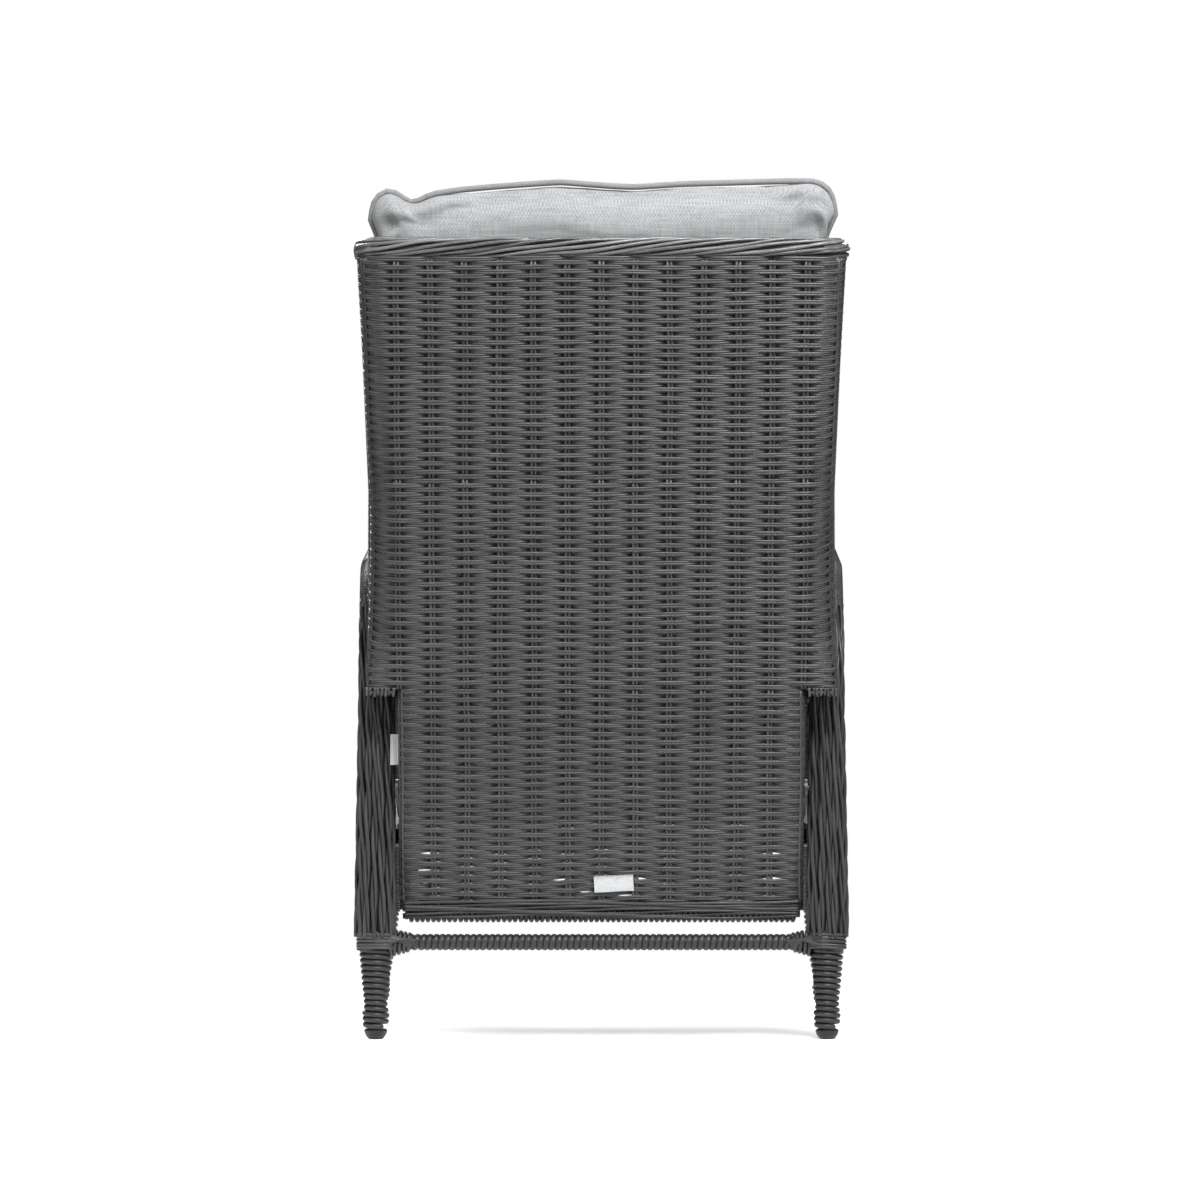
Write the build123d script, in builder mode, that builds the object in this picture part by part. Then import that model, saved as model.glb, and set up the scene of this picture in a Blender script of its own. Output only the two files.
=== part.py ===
from build123d import *
from math import cos, hypot, radians, sin, tan
import os

os.makedirs("parts", exist_ok=True)

# A tall reclining garden armchair with a woven skin on a welded aluminium frame, in millimetres.
# +Z is up, +Y is behind the chair, +X is the sitter's left. The origin is on the floor, under the
# middle of the chair at rest. "Reach" is the distance forward of the rear leg axis.

# Driving dimensions: side frames
rear_leg_y = 211.5
wheelbase = 609
side_x = 310
flare = 10
front_splay = 10
front_reach = hypot(wheelbase, flare)
tube_r = 12.5
tube_wall = 2
rail_r = 8
leg_top_z = 150
foot_z = 14
knee_z = 530
arm_reach = 103
arm_rear_z = 640
arm_front_z = 666
arm_start_z = 482
arm_end_z = 600
front_bend = 55
arm_radii = [100, 120, front_bend]
arm_thick = 42
arm_wide = 48
arm_corner_r = 14
weave_t = 10
inner_x = 285
braid_top_x = 329
braid_foot_x = 337
braid_top_half = 21
braid_foot_half = 26
front_post_half = 25
leg_profile = [(150, 23), (122, 22.5), (98, 20.5), (76, 19), (52, 16.5), (36, 18.5), (18, 17.5)]
leg_core_foot_r = 8
foot_r = 16
foot_flat_r = 9
foot_plug_r = 5
foot_plug_z = 34
crossbar_z = 133
crossbar_r = 8
crossbar_wrap_r = 11
gusset_r = 17
gusset_start_x = 272

tag_x = 284
tag_z = 398
tag_wide = 11
tag_tall = 42
tag_t = 0.8
label_wide = 54
label_tall = 23
label_place = (-17, -272)
label_turn = -3

# Driving dimensions: backrest, measured up its rear surface from the shoulder and forward from it
lean = 14
shoulder_z = 478
shoulder_reach = -72
skin_t = 10
rim_v = 613
waist_v = 260
hem_v = -318
shoulder_half = 322
waist_half = 316
rim_half = 332
lower_half = 277
wing_t = 12
rim_w = 14
hem_w = 13
wing_w = 96
wing_drop = 26
tuck = 5
elbow_v = 96
elbow_w = 92
shoulder_w = 26
shoulder_wrap_tall = 32
rim_r = 15
edge_r = 11
hem_r = 13.5
back_tube_r = 8
cross_tube_r = 7
edge_tube_r = 6.5
rim_corner_r = 28
side_tube_x = 260
side_tube_w = 19
cross_tube_vs = (14, 330)

# Driving dimensions: recline pivot, and the pins that carry the seat along
pivot_z = 470
pivot_bolt_r = 5
pivot_plate_x = 267
pivot_plate_t = 5
pivot_plate_root_v = -10
pivot_plate_root_r = 22
boss_r = 11
bush_r = 7
washer_r = 12
bolt_head_r = 9
bolt_head_t = 4.5
end_play = 0.4
running_gap = 0.05
hinge_z = 345
hinge_pin_r = 4
hinge_pin_end_x = 284
link_x = 278.3
link_t = 4
slot_wide = 11.5
slot_tall = 18
link_r = 11
link_fs = (92, 128)

# Driving dimensions: seat, measured forward along the sloping axis of the side rails and above it
slide_slope = 6
rail_z = 270
seat_tube_x = 252
seat_tube_r = 11
seat_h = 34
seat_rear_f = 81
seat_front_f = 575
strap_t = 2.5
strap_wide = 40
strap_pitch = 55
strap_count = 9
track_x = 279
track_wide = 16
track_tall = 21
track_t = 2
track_fs = (60, 568)
glide_fs = (125, 480)
glide_long = 30
glide_gap = 0.4
glide_arm_t = 4
glide_arm_r = 13
cross_rail_r = 11
cross_rail_wall = 2
cross_rail_h = -36
front_rail_f = 545
mid_rail_f = 290
end_plate_t = 4
bolt_step = 13
screw_fs = (90, 230, 480)
screw_r = 3
screw_head_r = 5
spacer_long = 30
apron_fs = (588, 600)
apron_hs = (-2, 46)

# Driving dimensions: locking gas spring and its release
gas_h = 2
cylinder_r = 11
cylinder_bore = 9.4
cylinder_fs = (240, 445)
gas_rod_r = 5
rod_start_f = 425
piston_t = 12
gas_rear_f = 226
gas_front_f = 544
gas_pin_r = 4
head_fs = (528, 560)
head_half = 12
ear_t = 4
ear_r = 11
valve_r = 2.5
valve_start_f = 553
valve_tip_f = 570.4
shaft_f = 574
shaft_h = -24
shaft_r = 4
bearing_wall = 4
shaft_xs = (-240, 20)
finger_t = 6
handle_wide = 34
handle_end_f = 642
handle_drop = 8
handle_t = 6

# Driving dimensions: cushions
back_cushion_w = 36
back_cushion_t = 104
back_cushion_v = 688
cushion_bottom_z = 458
cushion_outline = [
    (256, -70), (256, 16), (277, 28), (277, 190), (293, 290), (299, 590), (299, 634), (312, 654),
    (312, back_cushion_v),
]
seat_cushion_fs = (45, 614)
seat_cushion_half = 274
seat_cushion_t = 95

# Planes that the pieces are drawn on
side_plane = Plane(
    origin=(side_x, rear_leg_y, 0), x_dir=(flare, -wheelbase, 0), z_dir=(-wheelbase, -flare, 0)
)
pivot_side = Plane(origin=(0, rear_leg_y, pivot_z), x_dir=(0, -1, 0), z_dir=(-1, 0, 0))
lean_sin = sin(radians(lean))
lean_cos = cos(radians(lean))
back_plane = Plane(
    origin=(0, rear_leg_y - shoulder_reach, shoulder_z), x_dir=(1, 0, 0), z_dir=(0, -lean_cos, lean_sin)
)
back_side = Plane(origin=back_plane.origin, x_dir=back_plane.z_dir, z_dir=(-1, 0, 0))
slope_sin = sin(radians(slide_slope))
slope_cos = cos(radians(slide_slope))
slope_tan = tan(radians(slide_slope))
seat_plane = Plane(origin=(0, rear_leg_y, rail_z), x_dir=(-1, 0, 0), z_dir=(0, slope_sin, slope_cos))
seat_side = Plane(origin=seat_plane.origin, x_dir=seat_plane.y_dir, z_dir=(-1, 0, 0))


def back_point(x, v, w):
    """A point on the backrest: x sideways, v up from the shoulder, w forward of its rear surface."""
    return back_plane.from_local_coords((x, v, w))


def side_offset(plane, x):
    """The same side-view plane at the sideways position x."""
    return Plane(origin=plane.origin + Vector(x, 0, 0), x_dir=plane.x_dir, z_dir=plane.z_dir)


def bar(start, end, radius, bore=0):
    """A straight round bar, or a tube, between two points."""
    with BuildPart() as piece:
        with BuildLine() as axis:
            Line(start, end)
        with BuildSketch(Plane(origin=axis.line @ 0, z_dir=axis.line % 0)):
            Circle(radius)
            if bore:
                Circle(bore, mode=Mode.SUBTRACT)
        sweep()
    return piece


def side_bar(plane, start_x, end_x, along, up, radius, bore=0):
    """A round bar, or a tube, across the chair at a place on a side-view plane."""
    centre = plane.from_local_coords((along, up, 0))
    return bar(centre + Vector(start_x, 0, 0), centre + Vector(end_x, 0, 0), radius, bore)


def side_block(plane, xs, alongs, ups, corner=0):
    """A block between two sideways positions, drawn as a rectangle on a side-view plane."""
    with BuildPart() as block:
        with BuildSketch(side_offset(plane, xs[0])):
            with Locations((sum(alongs) / 2, sum(ups) / 2)):
                if corner:
                    RectangleRounded(alongs[1] - alongs[0], ups[1] - ups[0], corner)
                else:
                    Rectangle(alongs[1] - alongs[0], ups[1] - ups[0])
        extrude(amount=xs[0] - xs[1])
    return block


def side_link(plane, xs, *ends):
    """A flat link round two or more ends, each a centre and a radius, drawn on a side-view plane."""
    with BuildPart() as link:
        with BuildSketch(side_offset(plane, xs[0])):
            for centre, radius in zip(ends[::2], ends[1::2]):
                with Locations(centre):
                    Circle(radius)
            make_hull()
        extrude(amount=xs[0] - xs[1])
    return link


def rolled(points, radii, radius):
    """A round roll that follows a polyline with rounded corners."""
    with BuildPart() as piece:
        with BuildLine() as axis:
            FilletPolyline(*points, radius=radii)
        with BuildSketch(Plane(origin=axis.line @ 0, z_dir=axis.line % 0)):
            Circle(radius)
        sweep()
    return piece


def fused(*pieces):
    """One piece, or one group, made of several members."""
    with BuildPart() as whole:
        for piece in pieces:
            add(piece.part)
    return whole


def cut_by(piece, *others):
    """A piece with the room that its neighbours take cut away."""
    with BuildPart() as rest:
        add(piece.part)
        for other in others:
            add(other.part, mode=Mode.SUBTRACT)
    return rest


def mirrored(piece):
    """The same piece for the other side of the chair."""
    with BuildPart() as twin:
        mirror(piece.part, about=Plane.YZ)
    return twin


def both_sides(piece):
    """A left piece and its mirror image."""
    return fused(piece, mirrored(piece))


def save(piece, name):
    """Names a finished piece and writes it as its own file."""
    piece.part.label = name
    export_step(piece.part, f"parts/{name}.step")


def save_pair(piece, name):
    """Writes a left piece and its mirror image as two files."""
    save(piece, f"{name}_left")
    save(mirrored(piece), f"{name}_right")


# Fasteners that pass through the side frame
shank_end_x = side_x - tube_r + tube_wall
pivot_shank = side_bar(pivot_side, pivot_plate_x - end_play, shank_end_x, 0, 0, pivot_bolt_r)
pivot_head = side_bar(
    pivot_side, pivot_plate_x - end_play - bolt_head_t, pivot_plate_x - end_play, 0, 0, bolt_head_r
)
track_end_x = track_x + track_wide
screw_shanks = [side_bar(seat_side, track_end_x - track_t, side_x, f, 0, screw_r) for f in screw_fs]
plate_xs = {f: side_x + flare * f / wheelbase - rail_r - end_plate_t for f in (front_rail_f, mid_rail_f)}
rail_bolts = []
for f, plate_x in plate_xs.items():
    for step in (-bolt_step, bolt_step):
        rail_bolts.append(side_bar(seat_side, plate_x, plate_x + rail_r, f + step, 0, screw_r))
        rail_bolts.append(side_bar(seat_side, plate_x - screw_r, plate_x, f + step, 0, screw_head_r))


# Side frame: one bent hoop for both legs and the arm, the side rail, leg cores and pivot boss
corners = {"rear": (0, rear_leg_y), "front": (front_splay, rear_leg_y - wheelbase)}


def leg_x(height, splay):
    """Sideways place of a leg's centre at a height: the front legs splay below their posts."""
    return side_x + (flare + splay if splay else 0) - splay * height / leg_top_z


def leg_core(splay, y):
    """The tapered aluminium core of one lower leg, bored for the plug of its foot."""
    with BuildPart() as core:
        for height, radius in ((leg_top_z, tube_r), (foot_z, leg_core_foot_r)):
            with BuildSketch(Plane.XY.offset(height)):
                with Locations((leg_x(height, splay), y)):
                    Circle(radius)
        loft()
        with BuildSketch(Plane.XY.offset(foot_z)):
            with Locations((leg_x(0, splay), y)):
                Circle(foot_plug_r)
        extrude(amount=foot_plug_z - foot_z, mode=Mode.SUBTRACT)
    return core


rail_start = tube_r - tube_wall / 2
rail_stop = front_reach - rail_start
side_rail = bar(
    side_plane.from_local_coords((rail_start, rail_z + rail_start * slope_tan, 0)),
    side_plane.from_local_coords((rail_stop, rail_z + rail_stop * slope_tan, 0)),
    rail_r,
)
pivot_boss = side_bar(pivot_side, inner_x - 2, shank_end_x, 0, 0, boss_r)

hoop_points = [
    side_plane.from_local_coords((reach, height, 0))
    for reach, height in (
        (0, leg_top_z),
        (0, knee_z),
        (arm_reach, arm_rear_z),
        (front_reach, arm_front_z),
        (front_reach, leg_top_z),
    )
]
hoop_solid = rolled(hoop_points, arm_radii, tube_r)
hoop_bore = rolled(hoop_points, arm_radii, tube_r - tube_wall)
frame_solid = fused(hoop_solid, side_rail, pivot_boss)
leg_cores = [leg_core(splay, y) for splay, y in corners.values()]
side_frame = fused(
    cut_by(frame_solid, hoop_bore, pivot_shank, *screw_shanks, *rail_bolts), *leg_cores
)
save_pair(side_frame, "side_frame")
save(both_sides(fused(pivot_shank, pivot_head)), "pivot_bolts")
pivot_washer = side_bar(
    pivot_side, pivot_plate_x + pivot_plate_t + end_play, inner_x - 2, 0, 0, washer_r, pivot_bolt_r
)
save(both_sides(pivot_washer), "pivot_washers")


# Seat tracks: channels open towards the seat, on spacer blocks against the side rails
track_half = track_tall / 2
track_room = side_block(
    seat_side, (track_x - 1, track_end_x - track_t), (track_fs[0] - 1, track_fs[1] + 1),
    (track_t - track_half, track_half - track_t),
)
track_solid = side_block(seat_side, (track_x, track_end_x), track_fs, (-track_half, track_half))
spacers = [
    side_block(seat_side, (track_end_x, side_x), (f - spacer_long / 2, f + spacer_long / 2), (-6, 6))
    for f in screw_fs
]
seat_track = cut_by(fused(track_solid, *spacers), track_room, side_frame, *screw_shanks)
save_pair(seat_track, "seat_track")
save(both_sides(fused(*screw_shanks)), "track_screws")


# Rear crossbar between the rear legs
crossbar_end_x = side_x - tube_r + 1
rear_crossbar = cut_by(
    bar(
        (-crossbar_end_x, rear_leg_y, crossbar_z),
        (crossbar_end_x, rear_leg_y, crossbar_z),
        crossbar_r,
        crossbar_r - tube_wall,
    ),
    both_sides(side_frame),
)
save(rear_crossbar, "rear_crossbar")
crossbar_solid = bar(
    (-crossbar_end_x, rear_leg_y, crossbar_z), (crossbar_end_x, rear_leg_y, crossbar_z), crossbar_r
)


# Front and middle cross rails, with end plates bolted to the side rails
def cross_rail(f):
    """A tube across the chair under the seat, with an end plate against each side rail."""
    plate_x = plate_xs[f]
    plate = side_block(
        seat_side,
        (plate_x, plate_x + end_plate_t),
        (f - bolt_step - rail_r, f + bolt_step + rail_r),
        (cross_rail_h - cross_rail_r - 2, rail_r - 1),
        screw_r,
    )
    plate = cut_by(plate, side_frame, *rail_bolts)
    tube = side_bar(
        seat_side, -plate_x, plate_x, f, cross_rail_h, cross_rail_r, cross_rail_r - cross_rail_wall
    )
    return fused(tube, both_sides(plate))


save(cross_rail(mid_rail_f), "mid_cross_rail")
save(both_sides(fused(*rail_bolts)), "cross_rail_bolts")


# The front cross rail also carries the ears of the gas spring and the bearings of the release shaft
def ear_pair(along, low_h, high_h):
    """Two upright ears beside the gas spring's axis, round at the pin and at their tube."""
    ears = [
        side_link(seat_side, xs, (along, low_h), ear_r, (along, high_h), ear_r - 1)
        for xs in ((head_half + 1, head_half + 1 + ear_t), (-head_half - 1 - ear_t, -head_half - 1))
    ]
    return fused(*ears)


gas_pin_x = head_half + ear_t + 4
front_pin = side_bar(seat_side, -gas_pin_x, gas_pin_x, gas_front_f, gas_h, gas_pin_r)
rear_pin = side_bar(seat_side, -gas_pin_x, gas_pin_x, gas_rear_f, gas_h, gas_pin_r)
shaft_bore = side_bar(seat_side, shaft_xs[0], shaft_xs[1] + 1, shaft_f, shaft_h, shaft_r + running_gap)
bearings = [
    side_link(
        seat_side, (x, x + ear_t),
        (front_rail_f, cross_rail_h), cross_rail_r, (shaft_f, shaft_h), shaft_r + bearing_wall,
    )
    for x in (shaft_xs[1] - ear_t, shaft_xs[0] + handle_wide + 4)
]
front_tube_bore = side_bar(
    seat_side, -side_x + 10, side_x - 10, front_rail_f, cross_rail_h, cross_rail_r - cross_rail_wall
)
front_ears = ear_pair(gas_front_f, cross_rail_h + 2, gas_h)
front_cross_rail = cut_by(
    fused(cross_rail(front_rail_f), cut_by(fused(front_ears, *bearings), front_tube_bore, shaft_bore)),
    front_pin,
)
save(front_cross_rail, "front_cross_rail")
save(front_pin, "gas_spring_front_pin")


# Gas spring: head and rod are held by the base, and the cylinder moves with the seat
def seat_bar(start_f, end_f, radius, bore=0):
    """A round bar, or a tube, along the gas spring's axis."""
    return bar(
        seat_side.from_local_coords((start_f, gas_h, 0)), seat_side.from_local_coords((end_f, gas_h, 0)),
        radius, bore,
    )


valve_bore = seat_bar(valve_start_f - 6, head_fs[1] + 1, valve_r + running_gap)
rod = fused(
    seat_bar(rod_start_f, head_fs[0] + 8, gas_rod_r),
    seat_bar(rod_start_f, rod_start_f + piston_t, cylinder_bore - running_gap),
)
head_block = side_block(
    seat_side, (-head_half, head_half), head_fs, (gas_h - head_half, gas_h + head_half), 3
)
pin_relief = side_bar(seat_side, -head_half, head_half, gas_front_f, gas_h, gas_pin_r)
release_head = cut_by(head_block, rod, valve_bore, pin_relief)
save(release_head, "release_head")
save(rod, "gas_spring_rod")

cylinder_shell = cut_by(
    seat_bar(*cylinder_fs, cylinder_r),
    seat_bar(cylinder_fs[0] + 3, cylinder_fs[1] - 6, cylinder_bore),
    seat_bar(cylinder_fs[1] - 7, cylinder_fs[1] + 1, gas_rod_r + running_gap),
)
cylinder_lug = side_link(
    seat_side, (-8, 8), (gas_rear_f, gas_h), ear_r - 2, (cylinder_fs[0] - 1, gas_h), ear_r - 2
)
gas_cylinder = fused(cut_by(cylinder_lug, rear_pin, seat_bar(*cylinder_fs, cylinder_r)), cylinder_shell)
save(gas_cylinder, "gas_spring_cylinder")
save(rear_pin, "gas_spring_rear_pin")

valve_tip = seat_side.from_local_coords((valve_tip_f - valve_r, gas_h, 0))
with BuildPart() as valve_pin:
    add(seat_bar(valve_start_f, valve_tip_f - valve_r, valve_r).part)
    with Locations(valve_tip):
        Sphere(valve_r)
save(valve_pin, "valve_pin")


# Release lever: a shaft with a finger in front of the valve pin, and a paddle near the right corner
shaft = side_bar(seat_side, *shaft_xs, shaft_f, shaft_h, shaft_r)
finger = side_block(
    seat_side, (-5, 5), (shaft_f - finger_t / 2, shaft_f + finger_t / 2), (shaft_h, gas_h + 6), 2
)
save(fused(shaft, finger), "release_shaft")
paddle_xs = (shaft_xs[0], shaft_xs[0] + handle_wide)
paddle = side_link(
    seat_side, paddle_xs,
    (shaft_f, shaft_h), shaft_r + 3, (handle_end_f, shaft_h - handle_drop), handle_t / 2,
)
save(cut_by(paddle, shaft), "release_handle")


# Woven sleeves on the side frame: braided rear posts, wrapped front posts, arms, side panels
def sleeve_loft(sections, *others):
    """A rounded rectangular sleeve through sections (height, low x, high x, centre y, half depth)."""
    with BuildPart() as sleeve:
        for height, low_x, high_x, y, half in sections:
            with BuildSketch(Plane.XY.offset(height)):
                with Locations(((low_x + high_x) / 2, y)):
                    RectangleRounded(high_x - low_x, 2 * half, arm_corner_r)
        loft(ruled=True)
        for other in others:
            add(other.part, mode=Mode.SUBTRACT)
    return sleeve


rear_braid = sleeve_loft(
    [
        (leg_top_z, inner_x, braid_foot_x, rear_leg_y, braid_foot_half),
        (arm_start_z, inner_x, braid_top_x, rear_leg_y, braid_top_half),
    ],
    frame_solid,
)
save_pair(rear_braid, "rear_post_braid")
front_post_x = side_x + flare
front_wrap = sleeve_loft(
    [
        (leg_top_z, front_post_x - front_post_half, front_post_x + front_post_half, corners["front"][1],
         front_post_half),
        (arm_end_z, front_post_x - arm_wide / 2, front_post_x + arm_wide / 2, corners["front"][1],
         arm_thick / 2),
    ],
    frame_solid,
)
save_pair(front_wrap, "front_post_wrap")

with BuildPart() as arm_solid:
    with BuildLine(side_plane) as arm_line:
        FilletPolyline(
            (0, arm_start_z),
            (0, knee_z),
            (arm_reach, arm_rear_z),
            (front_reach, arm_front_z),
            (front_reach, arm_end_z),
            radius=arm_radii,
        )
    with BuildSketch(Plane(origin=arm_line.line @ 0, x_dir=(1, 0, 0), z_dir=arm_line.line % 0)):
        RectangleRounded(arm_wide, arm_thick, arm_corner_r)
    sweep()
save_pair(cut_by(arm_solid, frame_solid), "arm_wrap")

with BuildPart() as side_weave:
    with BuildSketch(side_plane.offset(-weave_t / 2)):
        with BuildLine():
            Polyline(
                (0, rail_z),
                (0, knee_z),
                (arm_reach, arm_rear_z),
                (front_reach - front_bend, arm_front_z - front_bend / 10),
                (front_reach, arm_front_z - front_bend),
                (front_reach, rail_z + front_reach * slope_tan),
                close=True,
            )
        make_face()
    extrude(amount=weave_t)
    for other in (frame_solid, arm_solid, rear_braid, front_wrap):
        add(other.part, mode=Mode.SUBTRACT)
save_pair(side_weave, "side_weave")


def leg_wrap(splay, y):
    """The spiral-wrapped sleeve of one lower leg, as a turned outer shape."""
    with BuildPart() as wrap:
        for height, radius in leg_profile:
            with BuildSketch(Plane.XY.offset(height)):
                with Locations((leg_x(height, splay), y)):
                    Circle(radius)
        loft(ruled=True)
        add(side_frame.part, mode=Mode.SUBTRACT)
        if not splay:
            add(crossbar_solid.part, mode=Mode.SUBTRACT)
    return wrap


def foot_glide(splay, y):
    """A domed black glide with a flat underside and a plug that goes up the leg."""
    with BuildPart() as foot:
        with BuildSketch(Plane(origin=(leg_x(0, splay), y, 0), x_dir=(1, 0, 0), z_dir=(0, -1, 0))):
            with BuildLine():
                Polyline((foot_flat_r, 0), (0, 0), (0, foot_plug_z), (foot_plug_r, foot_plug_z))
                Polyline(
                    (foot_plug_r, foot_plug_z), (foot_plug_r, foot_z),
                    (foot_r - 2, foot_z), (foot_r, foot_z - 2),
                )
                RadiusArc((foot_r, foot_z - 2), (foot_flat_r, 0), foot_r)
            make_face()
        revolve(axis=Axis((leg_x(0, splay), y, 0), (0, 0, 1)))
    return foot


for corner, (splay, y) in corners.items():
    glide = foot_glide(splay, y)
    save_pair(glide, f"{corner}_foot")
    save_pair(cut_by(leg_wrap(splay, y), glide), f"{corner}_leg_wrap")

rear_leg_wrap = leg_wrap(*corners["rear"])
with BuildPart() as gusset:
    for x, radius in ((gusset_start_x, crossbar_wrap_r + 0.5), (side_x - 16, gusset_r)):
        with BuildSketch(Plane(origin=(x, rear_leg_y, crossbar_z), z_dir=(1, 0, 0))):
            Circle(radius)
    loft()
    for other in (crossbar_solid, rear_leg_wrap, rear_braid, side_frame):
        add(other.part, mode=Mode.SUBTRACT)
save_pair(gusset, "corner_gusset")
crossbar_wrap = bar(
    (-gusset_start_x, rear_leg_y, crossbar_z), (gusset_start_x, rear_leg_y, crossbar_z),
    crossbar_wrap_r, crossbar_r,
)
save(crossbar_wrap, "rear_crossbar_wrap")

# A blank care tag on the left rear post
tag_place = (tag_x, rear_leg_y + braid_top_half + 1.8, tag_z)
with BuildPart() as care_tag:
    with BuildSketch(Plane(origin=tag_place, x_dir=(1, 0, 0), z_dir=(0, 1, 0))):
        Rectangle(tag_wide, tag_tall)
    extrude(amount=tag_t)
save(care_tag, "care_tag")


# Backrest frame: rim tube, side tubes, cross tubes, wing edge tubes and pivot plates
rim_x = rim_half + 3.5 - rim_r
rim_points = [
    back_point(rim_x, rim_v - wing_drop, wing_w),
    back_point(rim_x, rim_v, rim_w),
    back_point(-rim_x, rim_v, rim_w),
    back_point(-rim_x, rim_v - wing_drop, wing_w),
]
edge_points = [
    back_point(rim_x, rim_v - wing_drop, wing_w),
    back_point(waist_half - edge_r + 4, waist_v, wing_w - 1),
    back_point(shoulder_half - edge_r, elbow_v, elbow_w),
    back_point(shoulder_half - edge_r, cross_tube_vs[0], shoulder_w),
]
edge_radii = [400, 40]
rim_tube = rolled(rim_points, rim_corner_r, back_tube_r)
rim_roll = rolled(rim_points, rim_corner_r, rim_r)
edge_tube = rolled(edge_points, edge_radii, edge_tube_r)
edge_roll = rolled(edge_points, edge_radii, edge_r)
side_tube = bar(
    back_point(side_tube_x, hem_v, side_tube_w), back_point(side_tube_x, rim_v, side_tube_w), back_tube_r
)
hem_end_x = side_tube_x + back_tube_r
hem_tube = bar(back_point(-hem_end_x, hem_v, hem_w), back_point(hem_end_x, hem_v, hem_w), back_tube_r)
cross_tubes = [
    bar(back_point(-x, v, side_tube_w), back_point(x, v, side_tube_w), cross_tube_r)
    for x, v in ((shoulder_half - edge_r, cross_tube_vs[0]), (side_tube_x, cross_tube_vs[1]))
]
plate_root = pivot_side.to_local_coords(back_point(0, pivot_plate_root_v, side_tube_w))
pivot_plate_xs = (pivot_plate_x, pivot_plate_x + pivot_plate_t)
pivot_plate = cut_by(
    side_link(
        pivot_side, pivot_plate_xs,
        (0, 0), bush_r + 7, (plate_root.X, plate_root.Y), pivot_plate_root_r,
    ),
    side_bar(pivot_side, pivot_plate_x - 1, pivot_plate_x + pivot_plate_t + 1, 0, 0, bush_r),
)
pivot_back_cut = side_block(back_side, (pivot_plate_x - 1, inner_x), (-40, skin_t + 0.5), (-80, 80))
pivot_plate = cut_by(pivot_plate, pivot_back_cut)
back_frame = fused(
    rim_tube, hem_tube, *cross_tubes, both_sides(fused(edge_tube, side_tube, pivot_plate))
)
save(back_frame, "back_frame")
pivot_bush = side_bar(pivot_side, *pivot_plate_xs, 0, 0, bush_r, pivot_bolt_r + running_gap)
save(both_sides(pivot_bush), "pivot_bushes")

# Pins on the side tubes, which carry the seat along
hinge_v = (hinge_z - shoulder_z - side_tube_w * lean_sin) / lean_cos
hinge_place = seat_side.to_local_coords(back_point(0, hinge_v, side_tube_w))
hinge_pin = side_bar(
    seat_side, side_tube_x + back_tube_r - 2, hinge_pin_end_x, hinge_place.X, hinge_place.Y, hinge_pin_r
)
save(both_sides(cut_by(hinge_pin, back_frame)), "hinge_pins")

# Woven skin of the backrest: rolled borders, shoulders, rear skin and wings
save(cut_by(rim_roll, back_frame), "top_border")
save_pair(cut_by(edge_roll, back_frame, rim_roll), "wing_edge")
shoulder_block = side_block(
    back_side, (inner_x - 1, shoulder_half - 1), (skin_t, shoulder_w + back_tube_r + 3),
    (0, shoulder_wrap_tall),
)
save_pair(cut_by(shoulder_block, back_frame, edge_roll), "shoulder_wrap")

outline = [(shoulder_half, 0), (waist_half, waist_v), (rim_half, rim_v)]
with BuildPart() as wing_weave:
    with BuildSketch(back_plane.offset(skin_t)):
        with BuildLine():
            Polyline(*outline, *[(x - wing_t, v) for x, v in reversed(outline)], close=True)
        make_face()
    extrude(amount=wing_w - skin_t)
    with BuildSketch(side_offset(back_side, shoulder_half - 2 * wing_t - 4)):
        with BuildLine():
            Polyline(
                (skin_t, 0), (shoulder_w, 0), (shoulder_w, cross_tube_vs[0]), (elbow_w, elbow_v),
                (wing_w, waist_v), (wing_w, rim_v - wing_drop - tuck), (skin_t, rim_v - tuck),
                close=True,
            )
        make_face()
    extrude(amount=-4 * wing_t, mode=Mode.INTERSECT)
    for other in (shoulder_block, edge_roll, rim_roll, back_frame):
        add(other.part, mode=Mode.SUBTRACT)
save_pair(wing_weave, "wing_weave")

with BuildPart() as back_weave:
    with BuildSketch(back_plane):
        with BuildLine():
            right_side = [(lower_half, hem_v + 4), (lower_half, 0), *outline]
            Polyline(*right_side, *[(-x, v) for x, v in reversed(right_side)], close=True)
        make_face()
    extrude(amount=skin_t)
    hem_roll = bar(
        back_point(-side_tube_x + 11, hem_v, hem_w), back_point(side_tube_x - 11, hem_v, hem_w), hem_r
    )
    for other in (rim_roll, hem_roll, back_frame):
        add(other.part, mode=Mode.SUBTRACT)
save(back_weave, "back_weave")
save(cut_by(hem_roll, back_frame), "hem_wrap")

# A blank sewn label low on the rear of the backrest
with BuildPart() as sewn_label:
    with BuildSketch(back_plane.offset(-1.2)):
        with Locations(Location(label_place, label_turn)):
            RectangleRounded(label_wide, label_tall, 1)
    extrude(amount=tag_t)
save(sewn_label, "sewn_label")


# Seat frame: side tubes, cross tubes, glide arms, slotted links to the backrest and gas spring ears
seat_side_tube = bar(
    seat_side.from_local_coords((seat_rear_f - seat_tube_r, seat_h, 0)) + Vector(seat_tube_x, 0, 0),
    seat_side.from_local_coords((seat_front_f + seat_tube_r, seat_h, 0)) + Vector(seat_tube_x, 0, 0),
    seat_tube_r,
)
seat_cross_tubes = [
    side_bar(seat_side, -seat_tube_x, seat_tube_x, f, seat_h, radius)
    for f, radius in (
        (seat_rear_f, seat_tube_r - 1), (gas_rear_f, seat_tube_r - 2), (seat_front_f, seat_tube_r - 1)
    )
]
arm_xs = (seat_tube_x + seat_tube_r - 1, seat_tube_x + seat_tube_r + glide_arm_t - 1)
glide_arms = [
    side_link(seat_side, arm_xs, (f, seat_h), glide_arm_r, (f, 0), screw_head_r + 4) for f in glide_fs
]
glide_end_x = track_end_x - track_t - glide_gap
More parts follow.
